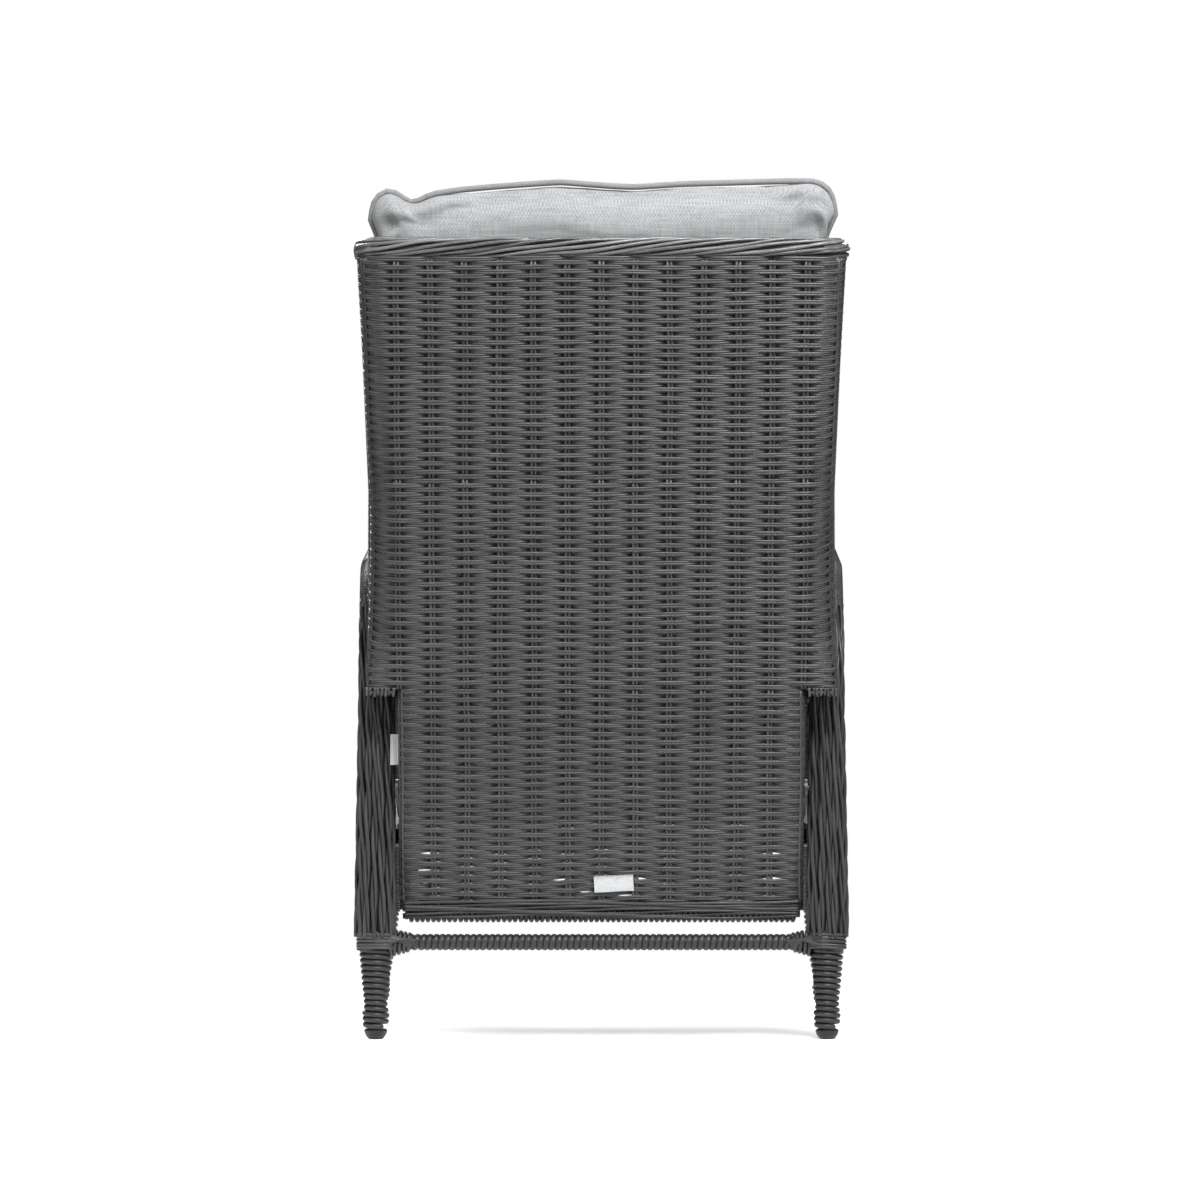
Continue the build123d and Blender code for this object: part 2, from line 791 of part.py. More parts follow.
glide_pins = [side_bar(seat_side, arm_xs[1] - 1, glide_end_x - 3, f, 0, gas_pin_r) for f in glide_fs]
link_studs = [side_bar(seat_side, arm_xs[0], link_x + 1, f, seat_h, screw_head_r) for f in link_fs]
link_xs = (link_x, link_x + link_t)
slot_centre = (hinge_place.X + 0.4, hinge_place.Y - 0.6)
with BuildPart() as slot_cut:
    with BuildSketch(side_offset(seat_side, link_x - 1)):
        with Locations(slot_centre):
            SlotOverall(slot_tall, slot_wide, rotation=90)
    extrude(amount=-link_t - 2)
hinge_link = cut_by(
    side_link(
        seat_side, link_xs,
        slot_centre, link_r + 2, (link_fs[0], seat_h), link_r, (link_fs[1], seat_h), link_r,
    ),
    slot_cut,
)
rear_ears = cut_by(ear_pair(gas_rear_f, gas_h, seat_h - 2), rear_pin)
seat_frame = fused(
    *seat_cross_tubes,
    rear_ears,
    both_sides(fused(seat_side_tube, *glide_arms, *glide_pins, *link_studs, hinge_link)),
)
save(seat_frame, "seat_frame")

glide_xs = (track_x - 4, glide_end_x)
glides = [
    side_block(
        seat_side,
        glide_xs,
        (f - glide_long / 2, f + glide_long / 2),
        (track_t + glide_gap - track_half, track_half - track_t - glide_gap),
        2,
    )
    for f in glide_fs
]
save(both_sides(cut_by(fused(*glides), seat_frame)), "seat_glides")

deck_h = seat_h + seat_tube_r
straps = [
    side_block(
        seat_side,
        (-seat_tube_x - 8, seat_tube_x + 8),
        (110 + i * strap_pitch - strap_wide / 2, 110 + i * strap_pitch + strap_wide / 2),
        (deck_h, deck_h + strap_t),
    )
    for i in range(strap_count)
]
save(fused(*straps), "seat_straps")

apron = side_block(seat_side, (-262, 262), apron_fs, apron_hs, 4)
save(cut_by(apron, seat_frame), "seat_apron")


# Cushions
with BuildPart() as seat_cushion:
    with BuildSketch(seat_plane.offset(deck_h + strap_t)):
        with Locations((0, sum(seat_cushion_fs) / 2)):
            RectangleRounded(2 * seat_cushion_half, seat_cushion_fs[1] - seat_cushion_fs[0], 30)
    extrude(amount=seat_cushion_t)
    fillet(seat_cushion.faces().sort_by(Axis.Z).last.edges(), 24)
    fillet(seat_cushion.faces().sort_by(Axis.Z).first.edges(), 10)
save(seat_cushion, "seat_cushion")

front_w = back_cushion_w + back_cushion_t


def bottom_v(w):
    """How far up the backrest the level underside of the back cushion is, at a distance forward."""
    return (cushion_bottom_z - shoulder_z - w * lean_sin) / lean_cos


with BuildPart() as back_cushion:
    with BuildSketch(back_plane.offset(back_cushion_w)):
        with BuildLine():
            Polyline(*cushion_outline, *[(-x, v) for x, v in reversed(cushion_outline)], close=True)
        make_face()
    extrude(amount=back_cushion_t)
    with BuildSketch(side_offset(back_side, -rim_half)) as profile:
        with BuildLine():
            Polyline(
                (back_cushion_w, bottom_v(back_cushion_w)), (front_w, bottom_v(front_w)),
                (front_w, back_cushion_v), (back_cushion_w, back_cushion_v), close=True,
            )
        make_face()
        fillet(profile.vertices().group_by(Axis.Z)[-1], 36)
    extrude(amount=-2 * rim_half, mode=Mode.INTERSECT)
save(back_cushion, "back_cushion")
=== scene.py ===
import math

import bpy
import numpy as np
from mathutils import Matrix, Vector
from mathutils.bvhtree import BVHTree


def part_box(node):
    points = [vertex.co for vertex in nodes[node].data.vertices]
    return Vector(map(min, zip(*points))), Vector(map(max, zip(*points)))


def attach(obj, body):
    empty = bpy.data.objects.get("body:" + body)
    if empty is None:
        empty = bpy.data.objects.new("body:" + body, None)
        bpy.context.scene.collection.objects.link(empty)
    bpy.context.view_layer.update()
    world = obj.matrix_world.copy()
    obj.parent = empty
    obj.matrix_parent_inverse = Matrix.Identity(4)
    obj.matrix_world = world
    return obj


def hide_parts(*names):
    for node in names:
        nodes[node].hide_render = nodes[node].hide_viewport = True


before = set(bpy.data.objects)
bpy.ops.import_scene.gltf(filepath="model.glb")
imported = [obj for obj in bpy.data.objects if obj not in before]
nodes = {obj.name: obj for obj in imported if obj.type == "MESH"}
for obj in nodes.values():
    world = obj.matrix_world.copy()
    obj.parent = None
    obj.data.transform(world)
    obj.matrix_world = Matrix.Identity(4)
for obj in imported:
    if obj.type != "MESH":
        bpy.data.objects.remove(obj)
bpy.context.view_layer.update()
scene = bpy.context.scene

# A woven reclining garden armchair. Lengths in this script are in millimetres, in the frame of the
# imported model: +Z up, +Y behind the chair. Meshes are turned into metres as they are made.
MM = 0.001
TAU = 2 * math.pi
SIDES = ((1, "left"), (-1, "right"))
REAR_Y = 211.5  # middle of the rear legs
BACK_Y = 283.5  # rear surface of the backrest, at the height of its shoulders
SHOULDER_Z = 478.0
RAIL_Z = 270.0  # axis of the side rails, at the rear legs
LEAN_SIN, LEAN_COS = math.sin(math.radians(14)), math.cos(math.radians(14))
SLOPE_SIN, SLOPE_COS = math.sin(math.radians(6)), math.cos(math.radians(6))
SLOPE_TAN = SLOPE_SIN / SLOPE_COS
BAR_Z = 133  # axis of the crossbar between the rear legs
SIDE_X = 310.0  # from the middle to the rear legs
FLARE = 10.0  # how much further apart the front legs stand, on each side
WHEELBASE = 609.0  # rear legs to front legs
REACH = math.hypot(WHEELBASE, FLARE)

# ---- camera
camera_data = bpy.data.cameras.new("camera")
camera_data.lens = 197.1
camera_data.sensor_width = 36
camera_data.clip_end = 60
camera = bpy.data.objects.new("camera", camera_data)
camera.location = (0.002, 9.2375, 0.603)
camera.rotation_euler = (math.radians(90), 0, math.radians(180))
scene.collection.objects.link(camera)
scene.camera = camera


def back(x, v, w):
    """Points on the backrest: x sideways, v up from the shoulder, w forward of the rear surface."""
    x, v, w = np.broadcast_arrays(np.asarray(x, float), v, w)
    return np.stack([x, BACK_Y + v * LEAN_SIN - w * LEAN_COS, SHOULDER_Z + v * LEAN_COS + w * LEAN_SIN], -1)


def seat(x, f, h):
    """Points on the seat: f forward along the slide and h above the rail's axis."""
    x, f, h = np.broadcast_arrays(np.asarray(x, float), f, h)
    return np.stack([x, REAR_Y - f * SLOPE_COS + h * SLOPE_SIN, RAIL_Z + f * SLOPE_SIN + h * SLOPE_COS], -1)


def side(reach, height, out, sign=1):
    """Points on a side frame: reach forward of the rear leg and out from the frame's middle plane."""
    reach, height, out = np.broadcast_arrays(np.asarray(reach, float), height, out)
    x = SIDE_X + reach * FLARE / REACH + out * WHEELBASE / REACH
    return np.stack([x * sign, REAR_Y - reach * WHEELBASE / REACH + out * FLARE / REACH, height], -1)


UP_BACK = np.array([0, LEAN_SIN, LEAN_COS])
OUT_BACK = np.array([0, LEAN_COS, -LEAN_SIN])


def unit(a):
    return a / np.maximum(np.linalg.norm(a, axis=-1, keepdims=True), 1e-9)


def dome(d):
    """Rises from 0 at the edge to 1 at distance 1, as a quarter circle."""
    return np.sqrt(1 - (1 - np.clip(d, 0, 1)) ** 2)


def lengths(line):
    """How far along a line each of its points lies."""
    return np.concatenate([[0], np.cumsum(np.linalg.norm(np.diff(line, axis=0), axis=1))])


def sample(values, at, places):
    """Rows of values known at some lengths, read off at other lengths."""
    return np.stack([np.interp(places, at, column) for column in values.T], -1)


def mirrored(line, flip):
    """The line itself where flip is 1, and its mirror image on the other side where flip is -1."""
    return np.asarray(line, float) * np.array([flip, 1, 1])


def smooth_noise(at, scale, seed, amount):
    """Slow random waves along each row of `at`, the same each run."""
    draw = np.random.default_rng(seed)
    total = np.zeros(at.shape)
    for k in range(3):
        phase = draw.uniform(0, TAU, (len(at), 1))
        speed = TAU / (scale * draw.uniform(0.6, 1.8, (len(at), 1)))
        total += np.sin(at * speed + phase) / 3
    return total * amount


class Strands:
    """Round strands gathered into one mesh, each with its own place in strand space and its own tone."""

    def __init__(self, seed=1):
        self.draw = np.random.default_rng(seed)
        self.co, self.loops, self.starts, self.strand, self.tone = [], [], [], [], []
        self.count = 0
        self.loop_count = 0

    def add(self, paths, radius, ref, sides=6, flat=1.0):
        """Adds a tube along each of the paths, or along the one path. ref points roughly outward."""
        paths = np.asarray(paths, float)
        if paths.ndim == 2:
            paths = paths[None]
        m, n, _ = paths.shape
        radius = np.broadcast_to(radius, (m, n))[..., None, None]
        tangent = unit(np.gradient(paths, axis=1))
        n1 = unit(np.cross(tangent, ref))
        n2 = np.cross(n1, tangent)
        a = np.arange(sides) * TAU / sides + 0.3
        ring = np.cos(a)[:, None] * n1[..., None, :] + flat * np.sin(a)[:, None] * n2[..., None, :]
        co = paths[..., None, :] + radius * ring
        step = np.linalg.norm(np.diff(paths, axis=1), axis=-1)
        along = np.concatenate([np.zeros((m, 1)), np.cumsum(step, 1)], 1)
        place = np.empty((m, n, sides, 3))
        place[..., 0] = along[..., None] + self.draw.uniform(0, 900, (m, 1, 1))
        place[..., 1] = radius[..., 0] * np.cos(a) + self.draw.uniform(0, 900, (m, 1, 1))
        place[..., 2] = radius[..., 0] * np.sin(a)
        tone = np.broadcast_to(self.draw.uniform(0, 1, (m, 1, 1)), (m, n, sides))
        i, j, k = np.indices((m, n - 1, sides))
        at = self.count + (i * n + j) * sides
        nxt = (k + 1) % sides
        quads = np.stack([at + k, at + nxt, at + sides + nxt, at + sides + k], -1).reshape(-1, 4)
        base = self.count + np.arange(m)[:, None] * n * sides
        first = base + np.arange(sides)[::-1]
        last = base + (n - 1) * sides + np.arange(sides)
        for faces in (quads, first, last):
            self.loops.append(faces.ravel())
            self.starts.append(self.loop_count + np.arange(len(faces)) * faces.shape[1])
            self.loop_count += faces.size
        self.co.append(co.reshape(-1, 3))
        self.strand.append(place.reshape(-1, 3))
        self.tone.append(tone.ravel())
        self.count += m * n * sides

    def both(self, paths, radius, ref, **kw):
        """The same strands on the left and, mirrored, on the right."""
        for flip in (1, -1):
            self.add(mirrored(paths, flip), radius, mirrored(ref, flip), **kw)

    def make(self, name, material, body, *stands_for, slot="wicker"):
        mesh = bpy.data.meshes.new(name)
        for rows, key, values in (
            (mesh.vertices, "co", (np.concatenate(self.co) * MM).astype(np.float32)),
            (mesh.loops, "vertex_index", np.concatenate(self.loops).astype(np.int32)),
            (mesh.polygons, "loop_start", np.concatenate(self.starts).astype(np.int32)),
        ):
            rows.add(len(values))
            rows.foreach_set(key, values.ravel())
        mesh.polygons.foreach_set("use_smooth", np.ones(len(mesh.polygons), bool))
        mesh.update(calc_edges=True)
        fields = ("strand", "FLOAT_VECTOR", "vector", self.strand), ("tone", "FLOAT", "value", self.tone)
        for title, kind, key, values in fields:
            rows = mesh.attributes.new(title, kind, "POINT").data
            rows.foreach_set(key, np.concatenate(values).astype(np.float32).ravel())
        mesh.validate()
        place_piece(mesh, name, material, body, slot, *stands_for)


def paint(mesh, material):
    mesh.materials.clear()
    mesh.materials.append(material)


def place_piece(mesh, name, material, body, slot, *stands_for):
    """Puts a finished mesh into the scene, on its body, in place of its CAD nodes."""
    piece = bpy.data.objects.new(name, mesh)
    scene.collection.objects.link(piece)
    paint(mesh, material)
    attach(piece, body)
    if stands_for:
        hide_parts(*stands_for)
    return piece


def fillet(points, radii, step=4.0):
    """A dense line through points whose corners are rounded to the given radii."""
    points = [np.asarray(p, float) for p in points]
    line = [points[0]]
    for corner, radius, before, after in zip(points[1:-1], radii, points[:-2], points[2:]):
        a, b = unit(before - corner), unit(after - corner)
        half = math.acos(float(np.clip(a @ b, -1, 1))) / 2
        reach = radius / math.tan(half)
        middle = corner + unit(a + b) * radius / math.sin(half)
        start, end = corner + a * reach, corner + b * reach
        turn = math.pi - 2 * half
        count = max(4, int(radius * turn / step))
        e1, e2 = unit(start - middle), unit(end - middle)
        for t in np.linspace(0, 1, count + 1):
            p = (math.sin((1 - t) * turn) * e1 + math.sin(t * turn) * e2) / math.sin(turn)
            line.append(middle + p * radius)
    line.append(points[-1])
    line = np.array(line)
    at = lengths(line)
    return sample(line, at, np.linspace(0, at[-1], max(8, int(at[-1] / step))))


class Spine:
    """A centre line with a sideways direction at each place, for strands that go round or along it."""

    def __init__(self, line, ref):
        self.line = np.asarray(line, float)
        self.at = lengths(self.line)
        self.length = self.at[-1]
        self.t = unit(np.gradient(self.line, axis=0))
        self.a = unit(np.cross(self.t, ref))
        self.b = np.cross(self.a, self.t)

    def take(self, field, s):
        return sample(field, self.at, s)

    def point(self, s, p, q):
        """Points beside the line: p along its sideways direction and q along the other."""
        a, b = unit(self.take(self.a, s)), unit(self.take(self.b, s))
        return self.take(self.line, s) + a * p[..., None] + b * q[..., None]

    def coil(self, strands, outline, pitch, r, starts=1, per_turn=18, jitter=0.0, **kw):
        """Winds strands round the line. outline(angle, s) gives (p, q)."""
        s = np.linspace(0, self.length, int(self.length / pitch * per_turn) + 2)
        angle = s / pitch * TAU + 0.7
        for k in range(starts):
            wave = jitter * np.sin(angle * 0.37 + k) + jitter * np.sin(angle * 0.113 + 2 * k)
            place = np.clip(s + k * pitch / starts + wave, 0, self.length)
            p, q = outline(angle, place)
            strands.add(self.point(place, p, q), r, unit(self.take(self.t, place)), **kw)

    def twine(self, strands, outline, count, pitch, r, wander=0.0, lift=0.0, step=10.0):
        """Lays long strands along the line that turn slowly round it, over and under one another."""
        s = np.linspace(0, self.length, max(4, int(self.length / step)))
        draw = np.random.default_rng(count + int(self.length))
        for k in range(count):
            f = draw.uniform(0, TAU, 4)
            angle = TAU * k / count + s / pitch * TAU
            angle = angle + wander * (np.sin(s / 47 + f[0]) + 0.6 * np.sin(s / 23 + f[1]))
            rise = 1 + lift * (np.sin(s / 19 + f[2]) + 0.7 * np.sin(s / 33 + f[3]))
            p, q = outline(angle, s)
            path = self.point(s, p * rise, q * rise)
            strands.add(path, r, unit(path - self.take(self.line, s)))

    def ropes(self, strands, outline, count, pitch, r, apart, turn=0.0, step=6.0):
        """Lays twisted pairs of strands side by side along the line, all round it."""
        s = np.linspace(0, self.length, max(4, int(self.length / step)))
        draw = np.random.default_rng(count + int(self.length))
        for k in range(count):
            f = draw.uniform(0, TAU, 3)
            angle = TAU * k / count + turn * s + 0.05 * np.sin(s / 83 + f[0])
            p, q = outline(angle, s)
            middle = self.point(s, p, q)
            out = unit(middle - self.take(self.line, s))
            along = np.cross(self.take(self.t, s), out)
            twist = TAU * s / pitch + math.pi * k / 2 + 0.35 * np.sin(s / 61 + f[1]) + 0.4 * f[2] / TAU
            wide, deep = np.cos(twist)[:, None] * apart, np.sin(twist)[:, None] * apart * 1.1
            for end in (1, -1):
                strands.add(middle + end * (along * wide + out * deep), r, out)


def ring(radius):
    """A round outline, whose radius may be a function of the place along the line."""
    size = radius if callable(radius) else lambda s: radius
    return lambda angle, s: (size(s) * np.cos(angle), size(s) * np.sin(angle))


def block(half_p, half_q, power=4.5):
    """A rounded rectangular outline; each half size may be a function of the place along the line."""
    hp = half_p if callable(half_p) else lambda s: half_p
    hq = half_q if callable(half_q) else lambda s: half_q

    def outline(angle, s):
        c, d = np.cos(angle), np.sin(angle)
        size = (np.abs(c / hp(s)) ** power + np.abs(d / hq(s)) ** power) ** (-1 / power)
        return size * c, size * d

    return outline


# ---- materials
class Shader:
    """A short way to build a node material."""

    def __init__(self, name):
        self.material = bpy.data.materials.new(name)
        self.material.use_nodes = True
        self.tree = self.material.node_tree
        self.shader = self.tree.nodes["Principled BSDF"]

    def feed(self, socket, value):
        """Links another node's output into a socket, or sets a plain value there."""
        if isinstance(value, bpy.types.NodeSocket):
            self.tree.links.new(value, socket)
        else:
            socket.default_value = (*value, 1) if socket.type == "RGBA" else value

    def node(self, kind, inputs=None, **settings):
        n = self.tree.nodes.new(kind)
        for key, value in settings.items():
            setattr(n, key, value)
        for key, value in (inputs or {}).items():
            self.feed(n.inputs[key], value)
        return n

    def place(self):
        return self.node("ShaderNodeTexCoord").outputs["Object"]

    def math(self, operation, a, b=0.0, c=0.0):
        return self.node("ShaderNodeMath", {0: a, 1: b, 2: c}, operation=operation).outputs[0]

    def plus(self, a, b):
        return self.math("ADD", a, b)

    def times(self, a, b):
        return self.math("MULTIPLY", a, b)

    def wave(self, value, length):
        return self.math("SINE", self.times(value, TAU / length))

    def noise(self, vector, scale, detail=3.0, rough=0.55):
        inputs = {"Vector": vector, "Scale": scale, "Detail": detail, "Roughness": rough}
        return self.node("ShaderNodeTexNoise", inputs).outputs["Fac"]

    def stretch(self, vector, scale, rotation=(0, 0, 0)):
        inputs = {"Vector": vector, "Scale": scale, "Rotation": rotation}
        return self.node("ShaderNodeMapping", inputs).outputs["Vector"]

    def ramp(self, factor, stops):
        n = self.node("ShaderNodeValToRGB", {"Fac": factor})
        while len(n.color_ramp.elements) < len(stops):
            n.color_ramp.elements.new(0.5)
        for element, (place, colour) in zip(n.color_ramp.elements, stops):
            element.position = place
            element.color = (*colour, 1)
        return n.outputs["Color"]

    def mix(self, factor, a, b):
        n = self.node("ShaderNodeMix", data_type="RGBA")
        for socket, value in ((n.inputs[0], factor), (n.inputs[6], a), (n.inputs[7], b)):
            self.feed(socket, value)
        return n.outputs[2]

    def set(self, **sockets):
        names = {"color": "Base Color", "rough": "Roughness", "metal": "Metallic", "normal": "Normal",
                 "sheen": "Sheen Weight", "sheen_rough": "Sheen Roughness", "specular": "Specular IOR Level",
                 "glow_color": "Emission Color", "glow": "Emission Strength"}
        for key, value in sockets.items():
            self.feed(self.shader.inputs[names[key]], value)

    def bump(self, height, strength, distance):
        inputs = {"Height": height, "Strength": strength, "Distance": distance}
        return self.node("ShaderNodeBump", inputs).outputs["Normal"]


def grey(value, tint=0.0):
    return (value * (1 - tint), value, value * (1 + tint))


def shade(colour, amount):
    return tuple(c * amount for c in colour)


def strand_material(name, dark, light, rough=0.42):
    """Extruded plastic strand: fine lengthwise grooves, mottled greys, a soft gloss on its crown."""
    m = Shader(name)
    dark, light = grey(dark, 0.01), grey(light, 0.01)
    place = m.node("ShaderNodeAttribute", attribute_name="strand").outputs["Vector"]
    tone = m.node("ShaderNodeAttribute", attribute_name="tone").outputs["Fac"]
    grooves = m.noise(m.stretch(place, (0.012, 1.7, 1.7)), 1.0, 2.0)
    mottle = m.noise(m.stretch(place, (0.05, 0.35, 0.35)), 1.0, 3.0)
    patch = m.noise(m.stretch(place, (0.008, 0.02, 0.02)), 1.0, 1.0)
    mixed = m.plus(m.times(tone, 0.42), m.times(mottle, 0.34))
    mixed = m.plus(mixed, m.times(patch, 0.24))
    between = tuple((a + b) / 2 for a, b in zip(dark, light))
    base = m.ramp(mixed, [(0.2, dark), (0.5, between), (0.8, light)])
    colour = m.mix(m.times(grooves, 0.55), base, shade(dark, 0.45))
    roughness = m.math("MULTIPLY_ADD", mottle, 0.25, rough - 0.1)
    normal = m.bump(grooves, 0.55, 0.0006)
    m.set(color=colour, rough=roughness, normal=normal, specular=0.5)
    return m.material


WICKER = strand_material("wicker", 0.024, 0.079)
# Darker copy of the same strand for the lower back weave: painted shade, as the back gets less light towards
# the bottom.
WICKER_LOW_PAINTED_SHADE = strand_material("wicker_low_painted_shade", 0.020, 0.066)
# Darker copy of the same strand for the hem, legs and crossbar: painted shade, darker towards the floor where
# less light falls.
WICKER_BASE_PAINTED_SHADE = strand_material("wicker_base_painted_shade", 0.012, 0.038)
# Darker copy of the same strand for the rear posts and corner gussets: painted shade, as they stand under the
# shoulders and low in the frame.
WICKER_POST_PAINTED_SHADE = strand_material("wicker_post_painted_shade", 0.015, 0.050)
# Lighter, glossier copy of the same strand for the top border: the lower roughness is a real gloss, and the
# much lighter tones are a painted highlight for its lit top.
WICKER_RIM_PAINTED_HIGHLIGHT = strand_material("wicker_rim_painted_highlight", 0.026, 0.24, 0.24)


def linen_material(name, dark, light, turn=0.0, scale=1.0):
    """Outdoor linen: over and under yarns with slubs, a faint check, and a soft nap."""
    m = Shader(name)
    place = m.place()
    turned = m.stretch(place, (1000 * scale,) * 3, (turn, 0, 0))
    slub = m.noise(m.stretch(turned, (0.02, 0.5, 0.5)), 1.0, 2.0)
    slub_up = m.noise(m.stretch(turned, (0.5, 0.5, 0.02)), 1.0, 2.0)
    axes = m.node("ShaderNodeSeparateXYZ", {0: turned}).outputs
    wobble = m.times(m.math("SUBTRACT", m.noise(turned, 0.15, 1.0), 0.5), 1.6)
    across = m.plus(axes[0], wobble)
    up = m.plus(m.plus(axes[2], m.times(axes[1], 0.85)), wobble)
    over = m.times(m.wave(across, 1.9), m.wave(up, 1.9))
    check = m.times(m.wave(across, 4.6), m.wave(up, 4.6))
    yarns = m.math("MULTIPLY_ADD", over, 0.5, 0.5)
    tone = m.plus(m.times(slub, 0.5), m.times(slub_up, 0.5))
    tone = m.plus(tone, m.times(check, 0.13))
    tone = m.plus(tone, m.times(over, 0.13))
    colour = m.ramp(tone, [(0.3, dark), (0.7, light)])
    height = m.plus(yarns, m.times(tone, 0.8))
    m.set(color=colour, rough=0.92, normal=m.bump(height, 0.35, 0.0005), sheen=0.25, sheen_rough=0.5,
          specular=0.25)
    return m.material


LINEN = linen_material("linen", grey(0.19, 0.02), grey(0.33, 0.02), math.radians(14))
PIPING = linen_material("piping_cloth", grey(0.15, 0.025), grey(0.24, 0.025), 0.0, 1.3)


def coated_metal(name, colour, rough=0.45):
    """Powder-coated tube: a fine orange-peel skin and slight patchiness."""
    m = Shader(name)
    place = m.place()
    peel = m.noise(place, 900, 2.0)
    patch = m.noise(place, 14, 3.0)
    tint = m.mix(patch, shade(colour, 0.8), shade(colour, 1.25))
    m.set(color=tint, rough=m.math("MULTIPLY_ADD", patch, 0.2, rough - 0.1), metal=0.15,
          normal=m.bump(peel, 0.25, 0.0004))
    return m.material


def brushed_metal(name, colour, direction=(40, 1600, 1600), rough=0.3):
    """Zinc-plated or ground steel with fine brushed lines and faint stains."""
    m = Shader(name)
    place = m.place()
    lines = m.noise(m.stretch(place, direction), 1.0, 3.0)
    stain = m.noise(place, 60, 3.0)
    tint = m.mix(stain, shade(colour, 0.75), colour)
    m.set(color=tint, metal=1.0, rough=m.math("MULTIPLY_ADD", lines, 0.25, rough - 0.1),
          normal=m.bump(lines, 0.15, 0.0003))
    return m.material


def moulded_plastic(name, colour, rough=0.55, grain=700):
    """Moulded nylon or rubber with a spark-eroded grain and scuffs."""
    m = Shader(name)
    place = m.place()
    fine = m.noise(place, grain, 2.0)
    scuff = m.noise(place, 45, 4.0, 0.7)
    tint = m.mix(m.times(scuff, 0.8), colour, tuple(c * 1.9 + 0.006 for c in colour))
    m.set(color=tint, rough=m.math("MULTIPLY_ADD", scuff, 0.25, rough - 0.1),
          normal=m.bump(fine, 0.3, 0.0004), specular=0.4)
    return m.material


def webbing_material(name, dark, light):
    """Woven polypropylene webbing: diagonal ribs across the strap."""
    m = Shader(name)
    place = m.place()
    axes = m.node("ShaderNodeSeparateXYZ", {0: m.stretch(place, (1000,) * 3)}).outputs
    ribs = m.wave(m.plus(axes[0], axes[1]), 2.6)
    cross = m.wave(m.math("SUBTRACT", axes[0], axes[1]), 2.6)
    weave = m.math("MULTIPLY_ADD", m.times(ribs, cross), 0.5, 0.5)
    m.set(color=m.mix(weave, dark, light), rough=0.75, normal=m.bump(weave, 0.6, 0.0006), sheen=0.1)
    return m.material


FRAME_COAT = coated_metal("frame_coat", grey(0.035, 0.02))
BLACK_COAT = coated_metal("black_coat", grey(0.012), 0.35)
ZINC = brushed_metal("zinc_steel", grey(0.56, 0.02))
ROD_CHROME = brushed_metal("ground_rod", grey(0.72, 0.01), (240, 40, 240), 0.2)
NYLON = moulded_plastic("nylon", grey(0.016), 0.5)
FOOT = moulded_plastic("foot_rubber", grey(0.004), 0.42, 500)
HANDLE = moulded_plastic("handle_plastic", grey(0.014), 0.5, 900)
WEBBING = webbing_material("webbing", grey(0.012), grey(0.045))
TAG_CLOTH = linen_material("tag_cloth", grey(0.46, 0.02), grey(0.56, 0.02), 0.0, 2.2)

# CAD parts that show as they are
CARRIED = {
    FRAME_COAT: "side_frame_left side_frame_right seat_track_left seat_track_right rear_crossbar "
                "front_cross_rail mid_cross_rail back_frame seat_frame",
    ZINC: "cross_rail_bolts track_screws gas_spring_front_pin gas_spring_rear_pin release_shaft valve_pin",
    ROD_CHROME: "gas_spring_rod",
    BLACK_COAT: "gas_spring_cylinder release_head pivot_bolts hinge_pins",
    NYLON: "pivot_washers pivot_bushes seat_glides",
    FOOT: "rear_foot_left rear_foot_right front_foot_left front_foot_right",
    HANDLE: "release_handle",
}
for material, names in CARRIED.items():
    for name in names.split():
        paint(nodes[name].data, material)

# ---- the woven backrest
ROW = 6.0  # height of one row of paired wefts
STAKE = 46.0  # distance from one pair of stakes to the next
SWING = 2.8  # how far a weft swings in front of and behind the skin's middle face
WEFT_R, STAKE_R = 1.95, 2.35
HEM_V, RIM_V = -318.0, 613.0
ROW_V = HEM_V + 18  # height of row 0
MID = 5.0  # depth of the skin's middle face
BORDER_CORNER = 28.0
LOWER_HALF, LOWER_CORNER = 280.0, 13.0  # half width and corner radius below the shoulders
# where the weave has opened near the hem: (sideways, up)
OPEN_SLOTS = [(-42, -176), (238, -233), (246, -254), (240, -275), (58, -268), (40, -276), (24, -283),
              (-53, -265), (-236, -230), (-236, -265), (-187, -277), (-30, -290)]


def half_width(v):
    return np.interp(v, [0, 260, RIM_V], [322, 316, 332])


def front_depth(v):
    return np.interp(v, [0, 14, 96, 260, RIM_V - 30, RIM_V], [30, 32, 93, 95, 96, 26])


def corner_size(v):
    """The radius that the skin turns through into the wings."""
    return np.interp(v, [0, 30, 90, 170, 260, 420, RIM_V], [12, 14, 44, 58, 46, 38, 32])


def shell(s, v, lift, full=True):
    """Points on the backrest's skin: s along its section from the middle, lift out of its middle face."""
    half = half_width(v) if full else np.full_like(v, LOWER_HALF)
    corner = corner_size(v) if full else LOWER_CORNER
    bend = corner - MID
    flat = half - corner
    a = np.abs(s)
    phi = np.clip((a - flat) / bend, 0, math.pi / 2)
    beyond = np.maximum(a - flat - bend * math.pi / 2, 0)
    x = np.where(a < flat, a, flat + bend * np.sin(phi))
    w = corner - bend * np.cos(phi) + beyond
    x = x + lift * np.sin(phi)
    w = w - lift * np.cos(phi)
    return back(np.sign(s) * x, v, w)


def slot_push(x, v):
    """Moves strands apart around the few places where the weave has opened."""
    push = np.zeros(np.broadcast(x, v).shape)
    for sx, sv in OPEN_SLOTS:
        near = np.exp(-(((x - sx) / 9.0) ** 2)) * np.exp(-np.abs(v - sv) / 9.0)
        push += np.where(v > sv, 1.7, -1.7) * near
    return push


def weft_lift(s, index):
    """A weft lies in front of the stakes, and dips behind every second one."""
    past = np.arccos(-np.cos(math.pi * s / STAKE + math.pi * index)) * STAKE / math.pi
    return SWING * (1 - 2 * np.exp(-((past / 12.5) ** 2)))


